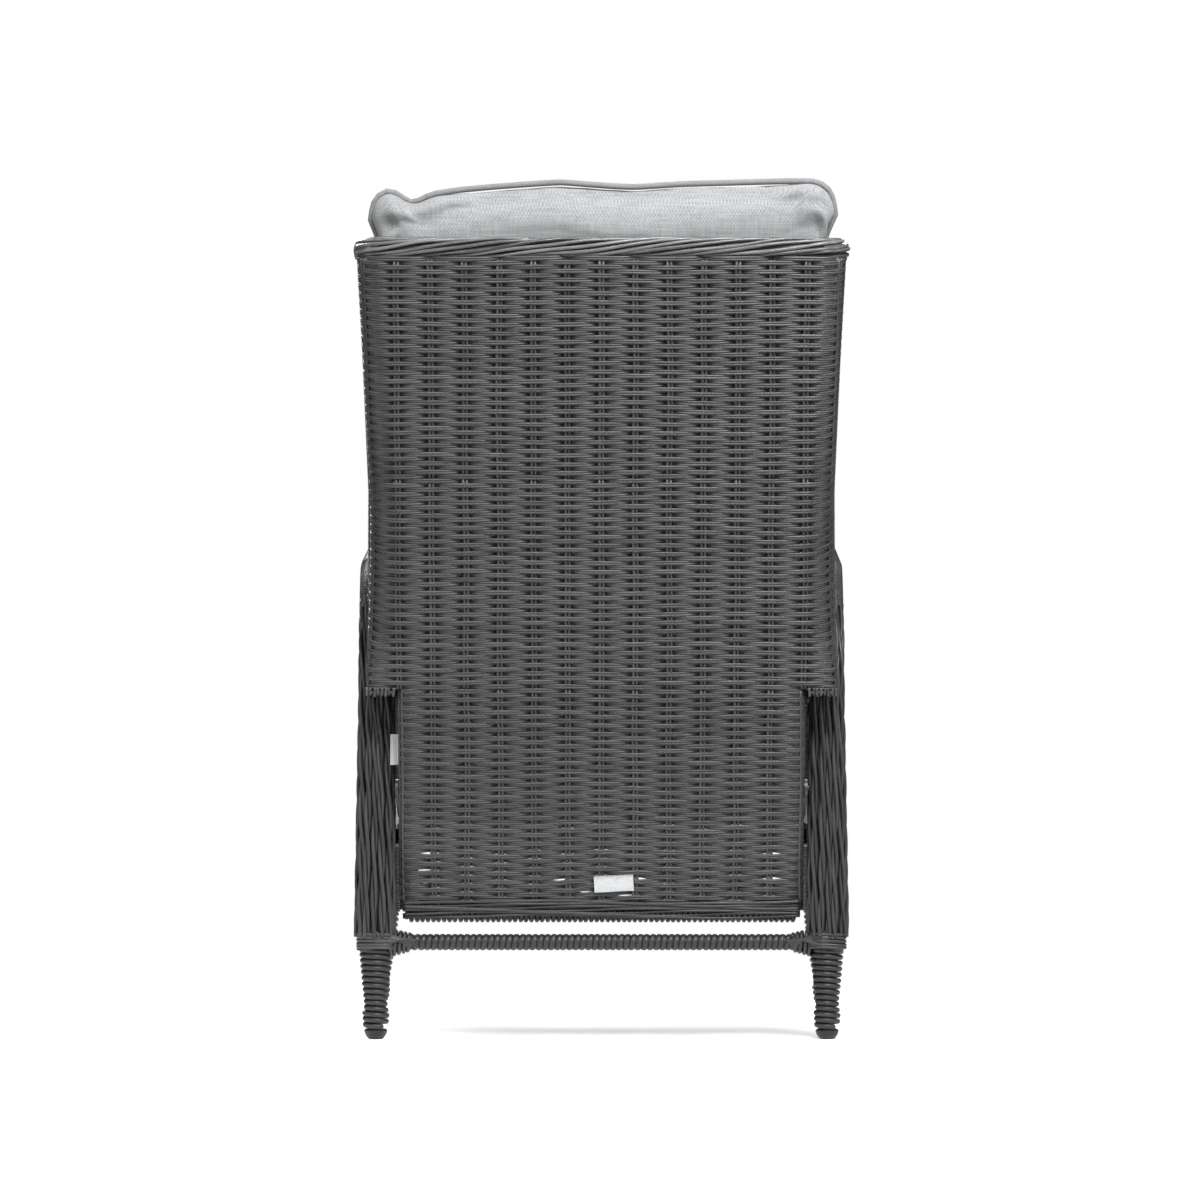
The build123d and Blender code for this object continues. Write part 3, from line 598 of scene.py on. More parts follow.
def weft_rows(strands, rows, full):
    """Rows of paired wefts across the whole back (full), or across its narrow lower part."""
    index = np.array(list(rows))[:, None]
    v = ROW_V + ROW * index
    corner = corner_size(v) if full else LOWER_CORNER
    if full:
        columns, calm, calm_from = 6, 0.62, half_width(v) - BORDER_CORNER
        half, past_corner = half_width(v), np.maximum(front_depth(v) - corner - 4, 2)
    else:
        columns, calm, calm_from = 5, 0.45, 266
        half, past_corner = LOWER_HALF, 12
    reach = half - corner + (corner - MID) * math.pi / 2 + past_corner
    near_stake = np.array([-20, -13, -8, -4, 0, 4, 8, 13, 20])
    inner = np.concatenate([k * STAKE + near_stake for k in range(-columns, columns + 1)])[None] + 0 * v
    outer = inner[:, -1:] + (reach - inner[:, -1:]) * np.linspace(0, 1, 13)[None, 1:]
    s = np.concatenate([-outer[:, ::-1], inner, outer], 1)
    lift = weft_lift(s, index) * np.where(np.abs(s) > calm_from, calm, 1.0)
    sag = 1.2 * np.sin(s / 61 + v / 83) * np.sin(s / 143 - v / 47 + 1.3)
    sag = sag + smooth_noise(s, 160, 11 + index[0, 0], 0.14)
    push = 0 if full else slot_push(s, v)
    for pair in (-1, 1):
        split = pair * (1.5 + smooth_noise(s, 70, 31 + pair + index[0, 0], 0.14))
        strands.add(shell(s, v + sag + split + push, lift, full), WEFT_R, UP_BACK)


def stake_pair(strands, s, low, high, full, wander_seed):
    """Two stakes side by side up the back, wandering a little together."""
    v = np.linspace(low, high, max(6, int((high - low) / 14)))
    drift = smooth_noise(v[None], 240, wander_seed, 1.0)[0]
    for pair in (-1, 1):
        path = shell(np.full_like(v, s) + pair * 2.4 + drift, v, np.full_like(v, 1.3 + 0.2 * pair), full)
        strands.add(path, STAKE_R, OUT_BACK)


first_full = int(-ROW_V / ROW) + 1
last_row = int((RIM_V - 9 - ROW_V) / ROW)
lower = Strands(3)
weft_rows(lower, range(-1, first_full), False)
for k in range(-5, 6):
    stake_pair(lower, k * STAKE, HEM_V + 6, 2, False, 50 + k)
for s in (-274.0, 274.0):
    stake_pair(lower, s, HEM_V + 6, 2, False, 77)
lower.make("back_weave_lower", WICKER_LOW_PAINTED_SHADE, "backrest", "back_weave")

middle_row = (first_full + last_row) // 2
for part, (start, end) in enumerate(((first_full, middle_row), (middle_row, last_row + 1))):
    upper = Strands(5 + part)
    weft_rows(upper, range(start, end), True)
    low_v, high_v = ROW_V + ROW * (start - 0.5), ROW_V + ROW * (end - 0.5)
    for k in range(-8, 9):
        low = low_v if part else max(low_v, 2.0 if abs(k) < 8 else 74.0)
        stake_pair(upper, k * STAKE, low, RIM_V - 15 if part else high_v, True, 50 + k)
    for flip in (-1, 1):
        v = np.linspace(max(low_v, 34), high_v - 3, 40)
        for turn in (0.7, 1.15, 1.5):
            s = half_width(v) - corner_size(v) + (corner_size(v) - MID) * turn
            upper.add(shell(flip * s, v, np.full_like(v, -0.8)), 2.8, OUT_BACK)
    upper.make(f"back_weave_{('middle', 'upper')[part]}", WICKER, "backrest",
               *(("wing_weave_left", "wing_weave_right") if part else ()))

# Shoulders: strands folded round the lower edge of each shoulder
shoulder = Strands(9)
for x in np.arange(284, 321, 5.1):
    drop = 1.2 * math.sin(x * 1.7)
    fold = fillet([back(x + drop, 5, 1.5), back(x, -6 + drop, 0.2), back(x, -6 + drop, 37), back(x, 30, 37)],
                  [5, 5], 3)
    shoulder.both(fold, 2.1, (1, 0, 0))
for w in np.arange(2.5, 36, 3.6):
    shoulder.both(back(np.linspace(282, 321, 8), -1.5, w), 1.9, UP_BACK)
shoulder.make("shoulder_folds", WICKER, "backrest", "shoulder_wrap_left", "shoulder_wrap_right")

# Rolled edges of the wings
rim_x = 320.5
edges = Strands(13)
edge_line = fillet([back(rim_x, RIM_V - 26, 96), back(309, 260, 95), back(311, 96, 92), back(311, 14, 28)],
                   [400, 40], 4)
for flip, _ in SIDES:
    Spine(mirrored(edge_line, flip), (1, 0, 0)).coil(edges, ring(8.6), 6.4, 1.7, starts=2, per_turn=16)
edges.make("wing_edge_rolls", WICKER, "backrest", "wing_edge_left", "wing_edge_right")

# Braided top border
border_line = fillet([back(rim_x, RIM_V - 29, 106), back(rim_x, RIM_V, 14), back(-rim_x, RIM_V, 14),
                      back(-rim_x, RIM_V - 29, 106)], [BORDER_CORNER, BORDER_CORNER], 4)
border = Strands(17)
border_spine = Spine(border_line, UP_BACK)


def closed_ends(radius, length):
    """A radius that closes in a round tip at both ends of a line."""
    return lambda s: radius * dome(np.clip(np.minimum(s, length - s) / radius, 0.02, 1))


border_spine.twine(border, ring(closed_ends(11.7, border_spine.length)), 11, 540, 2.6, wander=0.1, lift=0.05,
                   step=5)
tip = border_line[border_line[:, 0] > 295]
for flip, _ in SIDES:
    border.add(mirrored(tip, flip), np.interp(np.arange(len(tip)), [0, 3], [3.0, 9.4]), UP_BACK, sides=12)
border.make("top_border_braid", WICKER_RIM_PAINTED_HIGHLIGHT, "backrest", "top_border")

# Wrapped hem with long strands along its rear face
hem = Strands(19)
hem_line = back(np.linspace(-268, 268, 90), HEM_V, 12)
Spine(hem_line, UP_BACK).coil(hem, ring(10.4), 7.5, 3.1, per_turn=20, jitter=0.2)
for k in range(7):
    x = np.linspace(-273, 273, 100)
    v = HEM_V + 19 - 3.4 * k + 2.2 * np.sin(x / 71 + 1.1 * k) + 0.7 * np.sin(x / 29 + 2.9 * k)
    w = -0.8 + 0.7 * np.sin(x / 37 + 2.2 * k)
    hem.add(back(x, v, w), 2.3, OUT_BACK)
hem.make("hem_roll", WICKER_BASE_PAINTED_SHADE, "backrest", "hem_wrap")

# ---- side frames: posts, arms, panels
HOOP = [(0, 150), (0, 530), (103, 640), (REACH, 666), (REACH, 150)]
hoop_line = fillet([side(reach, z, 0) for reach, z in HOOP], [100, 120, 55], 4)
hoop_y, hoop_z = hoop_line[:, 1], hoop_line[:, 2]


def widths(line, value_at):
    """A size along a spine, from a function of height."""
    at = lengths(line)
    value = np.array([value_at(p[2]) for p in line])
    return lambda s: np.interp(s, at, value)


front_y = REAR_Y - WHEELBASE
rear_part = hoop_line[(hoop_y > REAR_Y - 62) & (hoop_z < 616)]
rear_part = np.concatenate([[[SIDE_X, REAR_Y, 141]], rear_part])
shifted = rear_part + np.array([1, 0, 0]) * np.interp(rear_part[:, 2], [150, 482], [1.0, -1.5])[:, None]
for flip, name in SIDES:
    posts = Strands(23)
    line = mirrored(shifted, flip)
    spine = Spine(line, (flip, 0, 0))
    half_y = widths(line, lambda z: np.interp(z, [150, 482], [23.6, 19.4]))
    half_x = widths(line, lambda z: np.interp(z, [150, 482], [23.6, 20.0]))
    spine.ropes(posts, block(half_y, half_x, 4.0), 16, 142, 2.9, 2.7, 0.0004 * flip)
    spine.twine(posts, block(lambda s: half_y(s) - 7, lambda s: half_x(s) - 7, 4.0), 20, -1500 * flip, 3.4,
                step=16)
    posts.make(f"rear_post_twist_{name}", WICKER_POST_PAINTED_SHADE, "base", f"rear_post_braid_{name}")

arm_line = hoop_line[(hoop_z > 470) & ((hoop_y <= REAR_Y - 50) | (hoop_z >= 600))]
post_line = np.linspace((SIDE_X + FLARE, front_y, 606), (SIDE_X + FLARE, front_y, 148), 60)
wide = widths(post_line, lambda z: np.interp(z, [150, 600], [24.4, 21.6]))
for flip, name in SIDES:
    for place, line, outline, seed in (
        ("arm", arm_line, block(18.8, 21.8), 29),
        ("front_post", post_line, block(wide, wide), 31),
    ):
        wound = Strands(seed)
        spine = Spine(mirrored(line, flip), (flip, 0, 0))
        spine.coil(wound, outline, 6.4, 1.75, starts=2, per_turn=24, jitter=0.15)
        wound.make(f"{place}_winding_{name}", WICKER, "base", f"{place}_wrap_{name}")


def panel(strands, flip):
    """The woven panel under one arm."""
    arm = np.array([[(REAR_Y - y) * REACH / WHEELBASE, z] for y, z in zip(hoop_y, hoop_z) if z > 400])
    rising = arm[: int(np.argmax(arm[:, 1] >= 655)) or None]
    for i, z in enumerate(np.arange(281, 652, ROW)):
        start = 12.0 if z < 505 else float(np.interp(z, rising[:, 1], rising[:, 0])) + 6
        if z > 640:
            start = max(start, (z - 640) / 26 * (REACH - 103) + 103)
        end = REACH - 12
        over_rail = (z - RAIL_Z - 4) / SLOPE_TAN
        if over_rail < end:
            end = max(over_rail, start + 20)
        if end - start < 30:
            continue
        reach = np.linspace(start, end, max(8, int((end - start) / 5.0)))[None]
        lift = weft_lift(reach - 14, i)
        sag = smooth_noise(reach, 150, 200 + i, 0.6)
        for pair in (-1, 1):
            strands.add(side(reach, z + sag + 1.52 * pair, lift, flip), WEFT_R, (0, 0, 1))
    for k in range(12):
        reach = 14 + STAKE * k
        if not 25 < reach < REACH - 20:
            continue
        top = np.interp(reach, [0, 103, REACH], [530, 640, 664]) - 6
        z = np.linspace(RAIL_Z + reach * SLOPE_TAN, top, 26)
        drift = smooth_noise(z[None], 200, 300 + k, 0.8)[0]
        for pair in (-1, 1):
            strands.add(side(reach + 2 * pair + drift, z, 0.2 * pair, flip), STAKE_R, (1, 0, 0))


for flip, name in SIDES:
    panel_strands = Strands(37)
    panel(panel_strands, flip)
    panel_strands.make(f"side_panel_{name}", WICKER, "base", f"side_weave_{name}")

# Strands folded over the outside of the side rails
rails = Strands(41)
for reach in np.arange(18, REACH - 16, 3.45):
    turn = np.linspace(-1.9, 1.9, 13)
    z = RAIL_Z + reach * SLOPE_TAN
    loop = side(reach + 0.3 * np.sin(turn), z + 9.6 * np.sin(turn), 9.6 * np.cos(turn) - 0.4)
    rails.both(loop, 1.65, (0, 1, 0))
rails.make("rail_winding", WICKER, "base")

# ---- legs, crossbar and gussets
# (height, radius) up a leg
LEG = np.array([(18, 17.5), (36, 18.5), (44, 16.3), (52, 16.5), (76, 19), (98, 20.5), (122, 22.5), (138, 23.6),
                (150, 23)])


def leg_line(splay):
    z = np.linspace(149, 17, 70)
    x = SIDE_X + (FLARE + splay if splay else 0) - splay * z / 150
    return np.stack([x, np.full_like(z, front_y if splay else REAR_Y), z], 1)


for splay, corner in ((0, "rear"), (10, "front")):
    for flip, name in SIDES:
        legs = Strands(43)
        line = mirrored(leg_line(splay), flip)
        size = widths(line, lambda z: np.interp(z, *LEG.T) - 3.2)
        Spine(line, (1, 0, 0)).coil(legs, ring(size), 8.0, 3.85, per_turn=26, jitter=0.12, sides=8)
        core = line[::6]
        legs.add(core, np.interp(core[:, 2], *LEG.T) - 5.5, (1, 0, 0), sides=16)
        legs.make(f"{corner}_leg_winding_{name}", WICKER_BASE_PAINTED_SHADE, "base", f"{corner}_leg_wrap_{name}")

crossbar = Strands(47)
bar_line = np.linspace((-276, REAR_Y, BAR_Z), (276, REAR_Y, BAR_Z), 140)
Spine(bar_line, (0, 0, 1)).coil(crossbar, ring(9.0), 8.5, 2.4, per_turn=20, jitter=0.25, flat=1.72, sides=8)
crossbar.make("crossbar_winding", WICKER_BASE_PAINTED_SHADE, "base", "rear_crossbar_wrap")

gussets = Strands(53)
for flip, _ in SIDES:
    line = np.linspace((262 * flip, REAR_Y, BAR_Z), (291 * flip, REAR_Y, 132.42), 20)
    Spine(line, (0, 0, 1)).coil(gussets, ring(lambda s: 10.6 + s * 0.26), 6.2, 2.9, per_turn=20, jitter=0.4)
    for k in range(4):
        sweep = fillet([(262 - 3 * k, REAR_Y + 9, 126 + 3 * k), (282 - 2 * k, REAR_Y + 17, 141 - k),
                        (306, REAR_Y + 25.5, 143 - 5 * k), (331, REAR_Y + 15, 141 - 6 * k)], [24, 30], 3)
        gussets.add(mirrored(sweep, flip), 2.9, (0, 0, 1))
    band = np.linspace((SIDE_X * flip, REAR_Y, 147), (SIDE_X * flip, REAR_Y, 123), 24)
    Spine(band, (1, 0, 0.09 * flip)).coil(gussets, block(24.4, 24.4, 4.0), 4.7, 2.5, per_turn=40, jitter=0.5)
gussets.make("gusset_windings", WICKER_POST_PAINTED_SHADE, "base", "corner_gusset_left", "corner_gusset_right")

# ---- seat apron
APRON_F = 594.0  # how far forward the apron hangs
apron = Strands(59)
for i, h in enumerate(np.arange(2, 46, ROW)):
    x = np.linspace(-261, 261, 72)
    lift = 2.6 * np.cos(math.pi * x / STAKE + math.pi * i)
    for pair in (-1, 1):
        apron.add(seat(x, APRON_F + lift, h + 1.5 * pair), WEFT_R, (0, 0, 1))
for k in range(-5, 6):
    h = np.linspace(-1, 45, 8)
    for pair in (-1, 1):
        apron.add(seat(k * STAKE + 2 * pair, APRON_F, h), STAKE_R, (0, 1, 0))
for h in (-1.0, 45.0):
    line = seat(np.linspace(-262, 262, 120), APRON_F, h)
    Spine(line, (0, 0, 1)).coil(apron, ring(3.2), 5.5, 1.5, starts=2, per_turn=12)
apron.make("apron_weave", WICKER, "seat", "seat_apron")


# ---- straps, tags and cushions
def cells(index):
    """The corners of each cell in a grid of point numbers."""
    corners = index[:-1, :-1], index[:-1, 1:], index[1:, 1:], index[1:, :-1]
    return np.stack(corners, -1).reshape(-1, 4).tolist()


def solid_sheet(name, grid, thick, material, body, slot, *stands_for):
    """A thin closed sheet from a grid of points, thickened to both sides."""
    normal = unit(np.cross(np.gradient(grid, axis=0), np.gradient(grid, axis=1)))
    top, bottom = grid + normal * thick / 2, grid - normal * thick / 2
    co = np.concatenate([top.reshape(-1, 3), bottom.reshape(-1, 3)]) * MM
    n = len(co) // 2
    index = np.arange(n).reshape(grid.shape[:2])
    faces = []
    for a, b, c, d in cells(index):
        faces += [(d, c, b, a), (n + a, n + b, n + c, n + d)]
    rim = np.concatenate([index[:, 0], index[-1, 1:], index[-2::-1, -1], index[0, -2:0:-1]]).tolist()
    for a, b in zip(rim, rim[1:] + rim[:1]):
        faces.append((a, b, n + b, n + a))
    mesh = bpy.data.meshes.new(name)
    mesh.from_pydata(co.tolist(), [], faces)
    mesh.validate()
    mesh.shade_smooth()
    return place_piece(mesh, name, material, body, slot, *stands_for)


STRAP_X = 252  # half the width that a strap crosses
straps = []
for i in range(9):
    f_mid = 110 + i * 55
    turn = np.linspace(math.radians(-75), math.radians(90), 9)
    end_x, end_h = STRAP_X + 12.6 * np.cos(turn), 34 + 12.6 * np.sin(turn)
    across = np.linspace(STRAP_X, 0, 22)[1:]
    bow = 1 - (across / STRAP_X) ** 2
    sag = 46.6 - 4.0 * bow - 1.2 * np.sin(i * 2.1) * bow
    half_x, half_h = np.concatenate([end_x, across]), np.concatenate([end_h, sag])
    x, h = (np.concatenate([half, sign * half[-2::-1]]) for half, sign in ((half_x, -1), (half_h, 1)))
    f = f_mid + np.array([-20, -17, -8, 0, 8, 17, 20])
    dish = np.array([0.0, 0.5, 0.2, 0.0, 0.2, 0.5, 0.0])
    grid = seat(x[:, None], f, h[:, None] + dish)
    straps.append(solid_sheet(f"strap_{i}", grid, 1.8, WEBBING, "seat", "webbing"))
bpy.ops.object.select_all(action="DESELECT")
for strap in straps:
    strap.select_set(True)
bpy.context.view_layer.objects.active = straps[0]
bpy.ops.object.join()
strap_piece = straps[0]
strap_piece.name = "webbing_straps"
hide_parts("seat_straps")


def fine_mesh(obj):
    """The mesh as its modifiers leave it, kept as plain data."""
    graph = bpy.context.evaluated_depsgraph_get()
    made = bpy.data.meshes.new_from_object(obj.evaluated_get(graph))
    obj.modifiers.clear()
    obj.data = made


def read_co(mesh):
    co = np.empty(len(mesh.vertices) * 3)
    mesh.vertices.foreach_get("co", co)
    return co.reshape(-1, 3)


def write_co(mesh, co):
    mesh.vertices.foreach_set("co", np.asarray(co, float).ravel())
    mesh.update()


def inflate(obj, cap, keep_in, pressure, shrink, seam=None):
    """Swells a closed cushion with Cloth, moves no point further than cap, and keeps it in its room."""
    start = read_co(obj.data)
    cloth = obj.modifiers.new("cloth", "CLOTH")
    cloth.collision_settings.use_collision = False
    setup = cloth.settings
    for key, value in {"quality": 6, "mass": 0.25, "tension_stiffness": 12, "compression_stiffness": 12,
                       "shear_stiffness": 6, "bending_stiffness": 0.6, "use_pressure": True,
                       "uniform_pressure_force": pressure, "shrink_min": shrink}.items():
        setattr(setup, key, value)
    setup.effector_weights.gravity = 0
    if seam is not None:
        group = obj.vertex_groups.new(name="seam")
        group.add(seam, 1.0, "REPLACE")
        setup.vertex_group_mass = "seam"
    for step in range(1, 21):
        scene.frame_set(step)
    fine_mesh(obj)
    shift = read_co(obj.data) - start
    size = np.linalg.norm(shift, axis=1, keepdims=True)
    shift *= np.where(size > cap * MM, cap * MM / np.maximum(size, 1e-9), 1.0)
    start = start + shift
    obj.vertex_groups.clear()
    write_co(obj.data, keep_in(start / MM) * MM)
    smooth = obj.modifiers.new("subdivision", "SUBSURF")
    smooth.levels = 1
    fine_mesh(obj)
    obj.data.shade_smooth()


def back_inverse(co):
    """(x, v, w) of points given in millimetres."""
    y, z = co[:, 1] - BACK_Y, co[:, 2] - SHOULDER_Z
    return co[:, 0], y * LEAN_SIN + z * LEAN_COS, -y * LEAN_COS + z * LEAN_SIN


def seat_inverse(co):
    """(x, f, h) of points given in millimetres."""
    y, z = co[:, 1] - REAR_Y, co[:, 2] - RAIL_Z
    return co[:, 0], -y * SLOPE_COS + z * SLOPE_SIN, y * SLOPE_SIN + z * SLOPE_COS


def rounded_path(points, count, passes=3):
    """An even, gently smoothed line through points in a plane."""
    points = np.array(points, float)
    at = lengths(points)
    line = sample(points, at, np.linspace(0, at[-1], 400))
    for _ in range(passes):
        padded = np.pad(line, ((4, 4), (0, 0)), mode="edge")
        line = np.stack([np.convolve(column, np.ones(9) / 9, "valid") for column in padded.T], 1)
    line[0], line[-1] = points[0], points[-1]
    at = lengths(line)
    return sample(line, at, np.linspace(0, at[-1], count))


# The back cushion: two panels sewn along a piped edge, with ears at its top corners
PILLOW_W, PILLOW_HALF = 88.0, 50.0
NX, NV = 58, 112
# its outline, (sideways, up), with an ear at each end of the top
TOP = [(312, 636), (309, 658), (300, 672), (289, 677), (276, 673), (266, 664), (257, 659), (246, 663),
       (229, 672), (190, 678), (150, 682), (100, 686), (55, 689), (20, 686), (-20, 683), (-45, 682),
       (-110, 686), (-183, 688), (-250, 690), (-288, 690), (-304, 683), (-313, 667), (-316, 644)]
LEFT = [(258, -52), (268, -30), (274, 10), (277, 100), (278, 190), (284, 240), (293, 300), (297, 450),
        (299, 600), (305, 620), (312, 636)]
RIGHT = [(-x, v) for x, v in LEFT[:-2]] + [(-307, 625), (-316, 644)]
BOTTOM = [(258, -52), (180, -60), (0, -62), (-180, -60), (-258, -52)]


def pillow_sheet():
    """The cushion's flat outline filled with a grid of points, (sideways, up)."""
    top, bottom = rounded_path(TOP, NX, 1), rounded_path(BOTTOM, NX)
    left, right = rounded_path(LEFT, NV), rounded_path(RIGHT, NV)
    u = np.linspace(0, 1, NX)[None, :, None]
    t = np.linspace(0, 1, NV)[:, None, None]
    corners = (1 - u) * (1 - t) * left[0] + u * (1 - t) * right[0]
    corners = corners + (1 - u) * t * left[-1] + u * t * right[-1]
    return ((1 - t) * bottom[None] + t * top[None] + (1 - u) * left[:, None] + u * right[:, None]) - corners


sheet = pillow_sheet()
u = np.linspace(0, 1, NX)[None]
t = np.linspace(0, 1, NV)[:, None]
near_x = np.minimum(u, 1 - u) * 560 / 66
near_v = np.minimum(t, 1 - t) * 740 / 60
puff = dome(near_x) * dome(near_v)
belly = 1 - 0.16 * ((u - 0.5) * 2) ** 2 - 0.10 * ((t - 0.45) * 1.6) ** 2
front = back(sheet[..., 0], sheet[..., 1], PILLOW_W + (PILLOW_HALF - 8) * puff * belly)
rear = back(sheet[..., 0], sheet[..., 1], PILLOW_W - (PILLOW_HALF - 6) * puff)
index_front = np.arange(NX * NV).reshape(NV, NX)
index_rear = index_front.copy()
index_rear[1:-1, 1:-1] = NX * NV + np.arange((NX - 2) * (NV - 2)).reshape(NV - 2, NX - 2)
co = np.concatenate([front.reshape(-1, 3), rear[1:-1, 1:-1].reshape(-1, 3)])
faces = []
for index, order in ((index_front, 1), (index_rear, -1)):
    faces += [cell[::order] for cell in cells(index)]
mesh = bpy.data.meshes.new("back_cushion_pillow")
mesh.from_pydata((co * MM).tolist(), [], faces)
pillow = place_piece(mesh, "back_cushion_pillow", LINEN, "backrest", "cushion", "back_cushion")
seam = np.concatenate([index_front[0], index_front[-1], index_front[:, 0], index_front[:, -1]])


def pillow_room(co):
    x, v, w = back_inverse(co)
    crease = 1.6 * np.sin(x / 31 + 0.8 * np.sin(v / 57)) * np.exp(-np.maximum(RIM_V + 70 - v, 0) / 45)
    w = np.clip(w + np.where(w < PILLOW_W, -crease, crease), 34, 141)
    return back(x, v, w)


inflate(pillow, 18, pillow_room, 3.0, -0.05, np.unique(seam).tolist())

loop = np.concatenate([sheet[0, ::-1], sheet[1:, 0], sheet[-1, 1:], sheet[-2:0:-1, -1]])
loop = np.concatenate([loop, loop[:1]])
piping = Strands(61)
s = np.arange(len(loop))
piping.add(back(loop[:, 0], loop[:, 1], PILLOW_W + 1.2 * np.sin(s / 5.3) + 1.0 * np.sin(s / 11.7)), 4.3,
           OUT_BACK, sides=10)
piping.make("back_cushion_piping", PIPING, "backrest", slot="cushion")

# The seat cushion: a boxed cushion, swelled from its CAD shape
cushion_mesh = nodes["seat_cushion"].data.copy()
raw = read_co(cushion_mesh) / MM
x, f, h = seat_inverse(raw)
write_co(cushion_mesh, seat(x * 0.985, 330 + (f - 330) * 0.985, h) * MM)
pad = place_piece(cushion_mesh, "seat_cushion_pad", LINEN, "seat", "cushion", "seat_cushion")
remesh = pad.modifiers.new("remesh", "REMESH")
remesh.mode = "VOXEL"
remesh.voxel_size = 0.0065
fine_mesh(pad)
paint(pad.data, LINEN)


def pad_room(co):
    x, f, h = seat_inverse(co)
    x = np.clip(x, -271, 271)
    f = np.clip(f, 42, 622)
    crown = 6 * np.clip(1 - (x / 270) ** 2, 0, 1) * np.clip(1 - ((f - 330) / 285) ** 2, 0, 1)
    h = np.where(h > 95, h + crown, h)
    return seat(x, f, np.clip(h, 47.6, 156))


inflate(pad, 20, pad_room, 3.5, -0.02)


def edge_loop(half_x, low_f, high_f, corner, count=220):
    """An even loop round a rounded rectangle: points and outward directions."""
    pts, outs = [], []
    for cx, cf, a0 in ((1, 1, 0), (-1, 1, 90), (-1, -1, 180), (1, -1, 270)):
        centre = np.array([cx * (half_x - corner), (high_f - corner) if cf > 0 else (low_f + corner)])
        for a in np.radians(np.linspace(a0, a0 + 90, 12)):
            out = np.array([math.cos(a), math.sin(a)])
            pts.append(centre + corner * out)
            outs.append(out)
    pts, outs = np.array(pts + pts[:1]), np.array(outs + outs[:1])
    at = lengths(pts)
    fine = np.linspace(0, at[-1], count)
    return sample(pts, at, fine), unit(sample(outs, at, fine))


tree = BVHTree.FromPolygons([v.co for v in pad.data.vertices], [p.vertices for p in pad.data.polygons])
pad_piping = Strands(67)
points, outs = edge_loop(272, 48, 611, 30)
for height, rise in ((128.0, 1.0), (62.0, -1.0)):
    line = []
    for (px, pf), (ox, of) in zip(points, outs):
        start = seat(px + 50 * ox, pf + 50 * of, height + 50 * rise) * MM
        aim = seat(px, pf, height) * MM - start
        hit = tree.ray_cast(Vector(start), Vector(aim).normalized(), 0.2)[0]
        line.append((np.array(hit) if hit is not None else seat(px, pf, height) * MM) / MM)
    line = np.array(line)
    for _ in range(4):
        line[1:-1] = (line[:-2] + 2 * line[1:-1] + line[2:]) / 4
        line[0] = line[-1] = (line[1] + line[-2]) / 2
    x, f, h = seat_inverse(line)
    line = seat(np.clip(x, -269.5, 269.5), f, np.maximum(h, 52))
    pad_piping.add(line, 4.1, seat(0, 0, 1) - seat(0, 0, 0), sides=10)
pad_piping.make("seat_cushion_piping", PIPING, "seat", slot="cushion")

# Blank tag and label
low, high = (np.array(p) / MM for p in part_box("care_tag"))
z = np.linspace(high[2], low[2], 22)
x = np.linspace(low[0], high[0], 8)
wave = 0.5 * np.sin((z - low[2]) / 9)
tag_x, tag_z = np.meshgrid(x, z)
tag_y = (low[1] + high[1]) / 2 + 1.2 + wave[:, None] + 0.06 * (tag_x - x[0])
grid = np.stack([tag_x, tag_y, tag_z], -1)
tag = solid_sheet("post_tag", grid, 0.5, TAG_CLOTH, "base", "label", "care_tag")


def on_label(a, b, w):
    """Points on the sewn label, which sits 3 degrees askew: a along it and b up it from its middle."""
    c, s = math.cos(math.radians(-3)), math.sin(math.radians(-3))
    return back(-17 + a * c - b * s, -272 + a * s + b * c, w)


a, b = np.meshgrid(np.linspace(-27, 27, 28), np.linspace(-11.5, 11.5, 12))
grid = on_label(a, b, -1.3 - 0.3 * np.sin(a / 7) + 0.25 * np.sin(b / 4))
label = solid_sheet("back_label", grid, 0.5, TAG_CLOTH, "backrest", "label", "sewn_label")
stitches = Strands(71)
for b0 in (-10.0, 10.0):
    for a0 in np.arange(-25, 25, 3.2):
        a1 = np.linspace(a0, a0 + 2.1, 4)
        bulge = -1.75 - 0.35 * np.sin(np.linspace(0, math.pi, 4))
        stitches.add(on_label(a1, b0, bulge), 0.22, OUT_BACK, sides=5)
stitches.make("back_label_stitches", TAG_CLOTH, "backrest", slot="label")

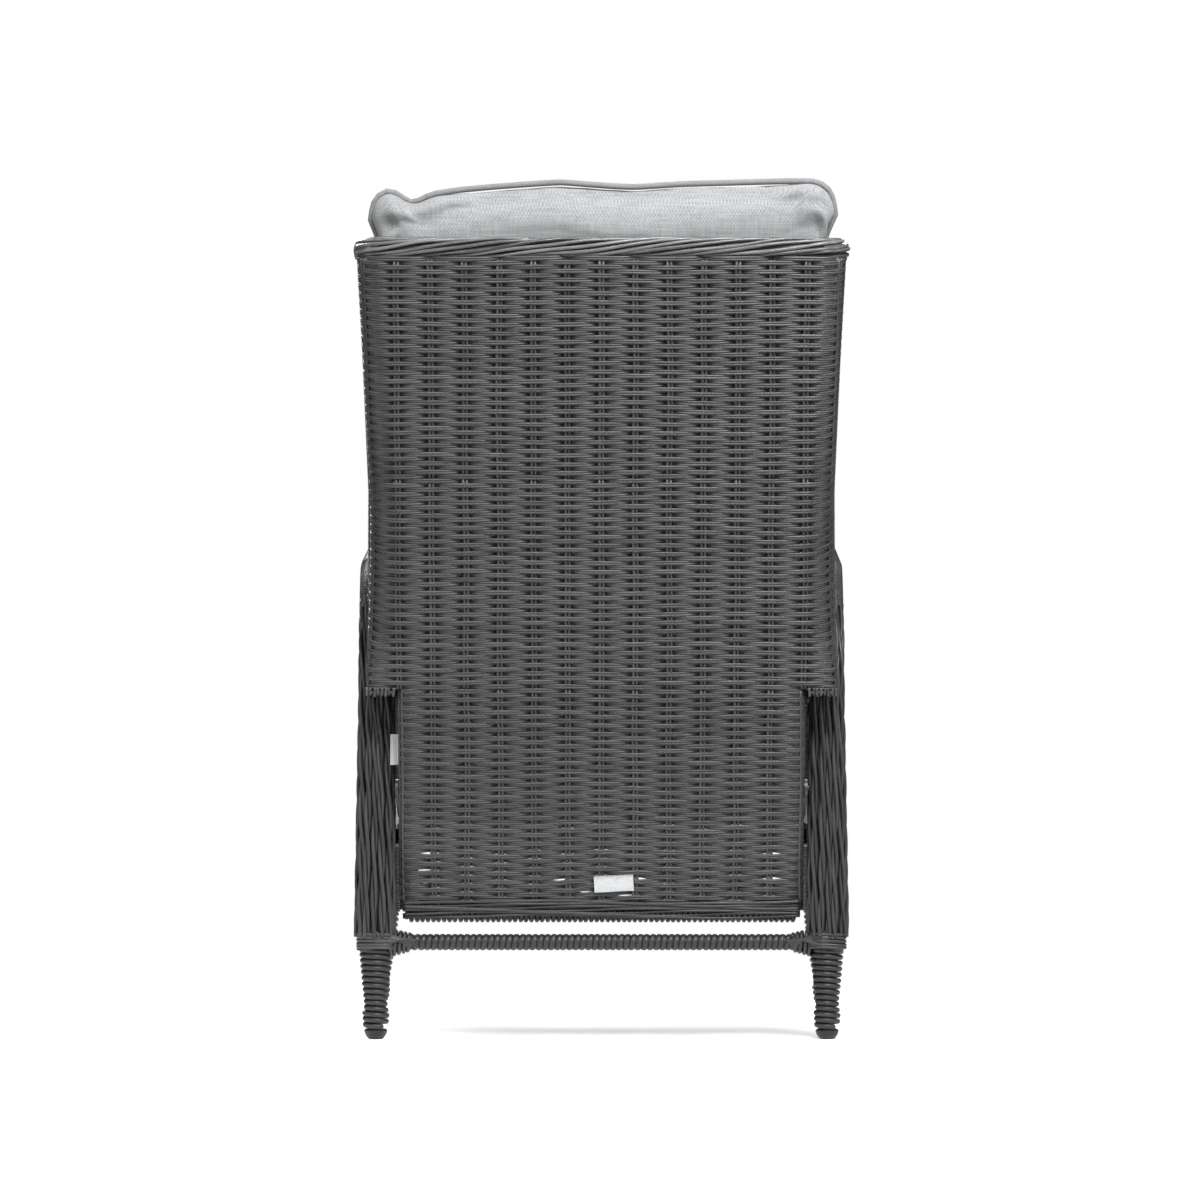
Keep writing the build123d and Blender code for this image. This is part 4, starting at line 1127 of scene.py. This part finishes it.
# ---- floor and lights
floor_mesh = bpy.data.meshes.new("floor")
floor_mesh.from_pydata([(-3, -3, 0), (3, -3, 0), (3, 3, 0), (-3, 3, 0)], [], [(0, 1, 2, 3)])
floor = bpy.data.objects.new("floor", floor_mesh)
scene.collection.objects.link(floor)
pale = Shader("pale_floor")
pale.set(color=(0.8, 0.8, 0.8), rough=0.8, specular=0.1, glow_color=(1, 1, 1), glow=0.45)
away = pale.node("ShaderNodeVectorMath", {0: pale.place()}, operation="LENGTH").outputs["Value"]
fade = pale.node("ShaderNodeMapRange", {"Value": away, "From Min": 0.6, "From Max": 1.7},
                 interpolation_type="SMOOTHERSTEP").outputs["Result"]
clear = pale.node("ShaderNodeBsdfTransparent").outputs[0]
blend_out = pale.node("ShaderNodeMixShader", {0: fade, 1: pale.shader.outputs[0], 2: clear})
pale.tree.links.new(blend_out.outputs[0], pale.tree.nodes["Material Output"].inputs["Surface"])
floor_mesh.materials.append(pale.material)

world = bpy.data.worlds.new("studio")
scene.world = world
world.use_nodes = True
sky = world.node_tree
seen = sky.nodes.new("ShaderNodeMixShader")
sky.links.new(sky.nodes.new("ShaderNodeLightPath").outputs["Is Camera Ray"], seen.inputs[0])
sky.links.new(seen.outputs[0], sky.nodes["World Output"].inputs["Surface"])
# dim as a light, white where the camera sees it
for socket, strength in ((1, 0.13), (2, 1.0)):
    background = sky.nodes["Background"] if socket == 1 else sky.nodes.new("ShaderNodeBackground")
    background.inputs["Color"].default_value = (1, 1, 1, 1)
    background.inputs["Strength"].default_value = strength
    sky.links.new(background.outputs[0], seen.inputs[socket])

for name, place, aim, size, power in (
    ("key", (-0.7, 2.2, 3.0), (0, 0.2, 0.8), (1.2, 0.9), 165),
    ("fill", (1.6, 4.6, 2.0), (0, 0, 0.6), (1.4, 1.4), 40),
    ("left", (3.2, 1.6, 1.5), (0, 0.1, 0.6), (1.2, 1.6), 45),
    ("right", (-3.2, 1.6, 1.5), (0, 0.1, 0.6), (1.2, 1.6), 45),
    ("front", (0.8, -2.6, 2.8), (0, 0, 0.6), (1.8, 1.4), 230),
):
    data = bpy.data.lights.new(name, "AREA")
    data.shape = "RECTANGLE"
    data.size, data.size_y = size
    data.energy = power
    lamp = bpy.data.objects.new(name, data)
    lamp.location = place
    lamp.rotation_euler = (Vector(aim) - Vector(place)).to_track_quat("-Z", "Y").to_euler()
    scene.collection.objects.link(lamp)
scene.view_settings.view_transform = "Standard"
